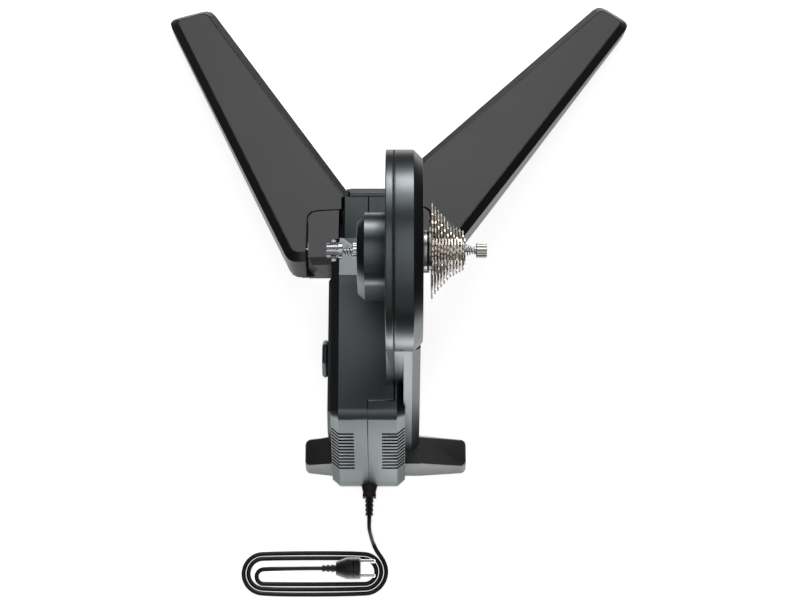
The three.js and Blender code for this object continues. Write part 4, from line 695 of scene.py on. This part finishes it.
# The outline at floor level, and the top, which is narrower and raised between the two middle columns
def footBlank():
    bm = bmesh.new()
    ends = ("endFrontY", "endRearY")
    middles = ("frontY", "rearY")
    columns = [("leftX", ends), ("middleLeftX", middles), ("middleRightX", middles), ("rightX", ends)]
    front = [(foot[x], foot[sides[0]]) for x, sides in columns]
    rear = [(foot[x], foot[sides[1]]) for x, sides in columns]
    plan = [bm.verts.new((x, y, foot["bottomZ"])) for x, y in front + rear[::-1]]
    grown = bmesh.ops.extrude_face_region(bm, geom=[bm.faces.new(plan)])
    middleY = (foot["topFrontY"] + foot["topRearY"]) / 2
    for vert in grown["geom"]:
        if isinstance(vert, bmesh.types.BMVert):
            raised = foot["middleLeftX"] - near < vert.co.x < foot["middleRightX"] + near
            vert.co.y = foot["topFrontY"] if vert.co.y > middleY else foot["topRearY"]
            vert.co.z = foot["topZ"] if raised else foot["endTopZ"]
    for side in (foot["middleLeftX"], foot["middleRightX"]):
        bmesh.ops.bisect_plane(bm, geom=bm.verts[:] + bm.edges[:] + bm.faces[:], plane_co=(side, 0, 0),
                               plane_no=(1, 0, 0))
    return bm


def isCornerPost(edge):
    rise = abs(edge.verts[0].co.z - edge.verts[1].co.z)
    atEnd = all(min(abs(vert.co.x - foot["leftX"]), abs(vert.co.x - foot["rightX"])) < near
                for vert in edge.verts)
    return rise > foot["corner"] and atEnd


def isTopRim(edge):
    normals = [face.normal.z for face in edge.link_faces]
    return isSharp(edge, foot["rimAngle"]) and max(normals) > foot["topNormal"] > min(normals)


def addFoot():
    bm = footBlank()
    posts = [edge for edge in bm.edges if isCornerPost(edge)]
    roundEdges(bm, posts, foot["corner"], foot["cornerSegments"])
    bmesh.ops.recalc_face_normals(bm, faces=bm.faces[:])
    rims = [edge for edge in bm.edges if isTopRim(edge)]
    roundEdges(bm, rims, foot["edge"], foot["edgeSegments"])
    bmesh.ops.translate(bm, verts=bm.verts[:], vec=packed)
    piece = newPiece("footBar", meshFrom(bm, "footBar"), "base", "cast_black", "footRimPaintedReflection", "rear_foot")
    # Faces that point up keep the dark cast paint, all others get the light grey painted reflection
    piece.data.materials.append(materials["castPaint"])
    for face in piece.data.polygons:
        face.material_index = 1 if face.normal.z > foot["topNormal"] else 0


addFoot()
print("foot made")

# Guessed webs of the base casting, placed as packed, that close sight lines beside the left wing's root; in
# the dark cast paint they also stand in for the shade in those gaps: painted shade
webShades = {
    "bridgeWebShade": ((-0.0693, 0.0222, 0.112), (-0.0640, 0.0262, 0.1290)),
    "hingeWebShade": ((-0.1280, -0.0840, 0.0870), (-0.1120, -0.0600, 0.0915)),
}


def addWebShade(name, low, high):
    bm = bmesh.new()
    bmesh.ops.create_cube(bm, size=1)
    middle = (Vector(low) + Vector(high)) / 2
    bmesh.ops.scale(bm, verts=bm.verts[:], vec=Vector(high) - Vector(low))
    bmesh.ops.translate(bm, verts=bm.verts[:], vec=middle)
    newPiece(name, meshFrom(bm, name), "base", "cast_black", "castPaint", "base_frame")


for name, (low, high) in webShades.items():
    addWebShade(name, low, high)
print("webs made")

cogEdge = {"width": 0.00022, "segments": 1}
cogs = [node for node in frame["nodes"] if node.startswith("cog_")]
for node in cogs:
    dress(node, "nickel", "nickelPlate", cogEdge["width"], cogEdge["segments"])
print("cogs dressed")

# Cone springs of the quick release, wound from round wire
springs = {
    "wire": 0.00055, "small": 0.0039, "large": 0.0074, "turns": 3, "stepsPerTurn": 24, "resolution": 3,
}


def addSpring(node, largeFirst):
    low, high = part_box(node)
    wire = springs["wire"]
    data = bpy.data.curves.new(node + ".look", "CURVE")
    data.dimensions = "3D"
    data.bevel_depth = wire
    data.bevel_resolution = springs["resolution"]
    data.use_fill_caps = True
    spline = data.splines.new("POLY")
    steps = springs["turns"] * springs["stepsPerTurn"]
    spline.points.add(steps)
    for i in range(steps + 1):
        share = i / steps
        narrowing = share if largeFirst else 1 - share
        radius = springs["large"] + (springs["small"] - springs["large"]) * narrowing
        angle = share * springs["turns"] * 2 * math.pi
        x = low[0] + wire + (high[0] - low[0] - 2 * wire) * share
        y = axle["y"] + radius * math.cos(angle)
        z = axle["z"] + radius * math.sin(angle)
        spline.points[i].co = (x, y, z, 1)
    piece = bpy.data.objects.new(node + ".look", data)
    scene.collection.objects.link(piece)
    data.materials.append(materials["polishedSteel"])
    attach(piece, bodyOf[node])
    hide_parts(node)


addSpring("cone_spring_left", False)
addSpring("cone_spring_right", True)
print("springs wound")

# Nodes that keep the CAD mesh, most of them inside the housing
kept = {
    "rotor": "castPaint", "magnet_ring": "magnetPlate", "stator": "copperWire",
    "bearing_inner": "polishedSteel", "bearing_outer": "polishedSteel", "axle": "satinSteel",
    "freehub_body": "darkMetal",
    "skewer_rod": "polishedSteel", "left_hinge_pin": "satinSteel", "right_hinge_pin": "satinSteel",
    "control_board": "boardLacquer", "power_supply": "darkMetal", "mains_inlet": "cablePlastic",
}

# A node that pieces replace gets the finish of one of them
replaced = {
    "power_cord": "cablePlastic", "cord_bundle": "cablePlastic", "mains_connector": "cablePlastic",
    "mains_plug": "cablePlastic", "left_housing": "shellPaint", "right_housing": "shellPaint",
    "rear_foot": "castPaint", "cone_spring_left": "polishedSteel", "cone_spring_right": "polishedSteel",
}
for node, (slot, finish, width) in dressed.items():
    replaced[node] = finish
for node in cogs:
    replaced[node] = "nickelPlate"
for node, finish in {**kept, **replaced}.items():
    setMaterial(frame["nodes"][node], finish)
print("nodes finished")

# Floor, world and lamps
floorSetup = {
    "half": 4.0, "color": 0.8, "roughness": 0.9, "specular": 0.1, "glow": 0.82, "paintedPoolReflection": 0.88,
    "paintedPoolFrom": 0.50, "paintedPoolTo": 0.66,
}
lamps = {
    "frontSoftbox": {"place": (0.1, 2.3, 1.70), "aim": (0, -0.1, 0.25), "size": (1.4, 1.0), "power": 52},
    "topSoftbox": {"place": (0, 1.70, 2.7), "aim": (0, 0, 0.2), "size": (2.2, 0.8), "power": 13},
    "cameraSoftbox": {"place": (0, -0.70, 3.0), "aim": (0, -0.15, 0.2), "size": (1.6, 1.7), "power": 13.5},
    "rearSoftbox": {"place": (0, -1.85, 2.35), "aim": (0, -0.25, 0.2), "size": (1.8, 1.3), "power": 7.0},
    "rearWall": {"place": (0, -2.6, 1.2), "aim": (0, 0, 0.3), "size": (2.0, 2.0), "power": 5.0},
    "rearGlow": {"place": (0, -0.50, 0.012), "aim": (0, -0.50, 1), "size": (0.9, 0.20), "power": 2.2},
}
worldSetup = {"background": 1.0, "fill": 0.025}


def rayMask(tree, outputs):
    path = tree.nodes.new("ShaderNodeLightPath")
    total = path.outputs[outputs[0]]
    for label in outputs[1:]:
        most = addNode(tree, "ShaderNodeMath", operation="MAXIMUM")
        tree.links.new(total, most.inputs[0])
        tree.links.new(path.outputs[label], most.inputs[1])
        total = most.outputs[0]
    return total


def addFloor():
    bm = bmesh.new()
    bmesh.ops.create_grid(bm, x_segments=1, y_segments=1, size=floorSetup["half"])
    mesh = bpy.data.meshes.new("floor")
    bm.to_mesh(mesh)
    bm.free()
    floor = bpy.data.objects.new("floor", mesh)
    scene.collection.objects.link(floor)
    material = bpy.data.materials.new("floorWhite")
    material.use_nodes = True
    tree = material.node_tree
    shader = tree.nodes["Principled BSDF"]
    tone = floorSetup["color"]
    shader.inputs["Roughness"].default_value = floorSetup["roughness"]
    shader.inputs["Specular IOR Level"].default_value = floorSetup["specular"]
    shader.inputs["Emission Color"].default_value = (1, 1, 1, 1)
    place = tree.nodes.new("ShaderNodeTexCoord")
    # Camera rays see the floor evenly bright. For reflections only, it glows in a pool round the object and
    # has no colour beyond it: a painted reflection of a bright near floor, and painted dark far floor
    reach = addNode(tree, "ShaderNodeVectorMath", operation="LENGTH")
    paintedReflectionPool = addNode(tree, "ShaderNodeMapRange", interpolation_type="SMOOTHSTEP")
    paintedReflectionPool.inputs["From Min"].default_value = floorSetup["paintedPoolTo"]
    paintedReflectionPool.inputs["From Max"].default_value = floorSetup["paintedPoolFrom"]
    seen = rayMask(tree, ["Is Camera Ray", "Is Transmission Ray"])
    paintedPoolReflection = addNode(tree, "ShaderNodeMath", operation="MULTIPLY")
    most = addNode(tree, "ShaderNodeMath", operation="MAXIMUM")
    glow = addNode(tree, "ShaderNodeMath", operation="MULTIPLY")
    glow.inputs[1].default_value = floorSetup["glow"]
    tree.links.new(place.outputs["Object"], reach.inputs[0])
    tree.links.new(reach.outputs["Value"], paintedReflectionPool.inputs["Value"])
    tree.links.new(paintedReflectionPool.outputs[0], paintedPoolReflection.inputs[0])
    glossy = rayMask(tree, ["Is Glossy Ray"])
    tree.links.new(glossy, paintedPoolReflection.inputs[1])
    paintedPoolGlow = addNode(tree, "ShaderNodeMath", operation="MULTIPLY")
    paintedPoolGlow.inputs[1].default_value = floorSetup["paintedPoolReflection"]
    tree.links.new(paintedPoolReflection.outputs[0], paintedPoolGlow.inputs[0])
    paintedDarkFarFloor = addNode(tree, "ShaderNodeMath", operation="SUBTRACT")
    tree.links.new(paintedPoolReflection.outputs[0], paintedDarkFarFloor.inputs[0])
    tree.links.new(glossy, paintedDarkFarFloor.inputs[1])
    paint = addNode(tree, "ShaderNodeMath", operation="MULTIPLY_ADD")
    paint.inputs[1].default_value = tone
    paint.inputs[2].default_value = tone
    tree.links.new(paintedDarkFarFloor.outputs[0], paint.inputs[0])
    tree.links.new(paint.outputs[0], shader.inputs["Base Color"])
    tree.links.new(seen, most.inputs[0])
    tree.links.new(paintedPoolGlow.outputs[0], most.inputs[1])
    tree.links.new(most.outputs[0], glow.inputs[0])
    tree.links.new(glow.outputs[0], shader.inputs["Emission Strength"])
    mesh.materials.append(material)


def addWorld():
    world = bpy.data.worlds.new("studio")
    world.use_nodes = True
    tree = world.node_tree
    background = tree.nodes["Background"]
    background.inputs["Color"].default_value = (1, 1, 1, 1)
    mask = rayMask(tree, ["Is Camera Ray"])
    mix = addNode(tree, "ShaderNodeMapRange")
    mix.inputs["To Min"].default_value = worldSetup["fill"]
    mix.inputs["To Max"].default_value = worldSetup["background"]
    tree.links.new(mask, mix.inputs["Value"])
    tree.links.new(mix.outputs[0], background.inputs["Strength"])
    scene.world = world


def addLamps():
    for name, setup in lamps.items():
        data = bpy.data.lights.new(name, "AREA")
        data.shape = "RECTANGLE"
        data.size, data.size_y = setup["size"]
        data.energy = setup["power"]
        lamp = bpy.data.objects.new(name, data)
        scene.collection.objects.link(lamp)
        lamp.location = setup["place"]
        aim = Vector(setup["aim"]) - Vector(setup["place"])
        lamp.rotation_euler = aim.to_track_quat("-Z", "Y").to_euler()
        lamp.visible_camera = False


addFloor()
addWorld()
addLamps()
print("stage set")
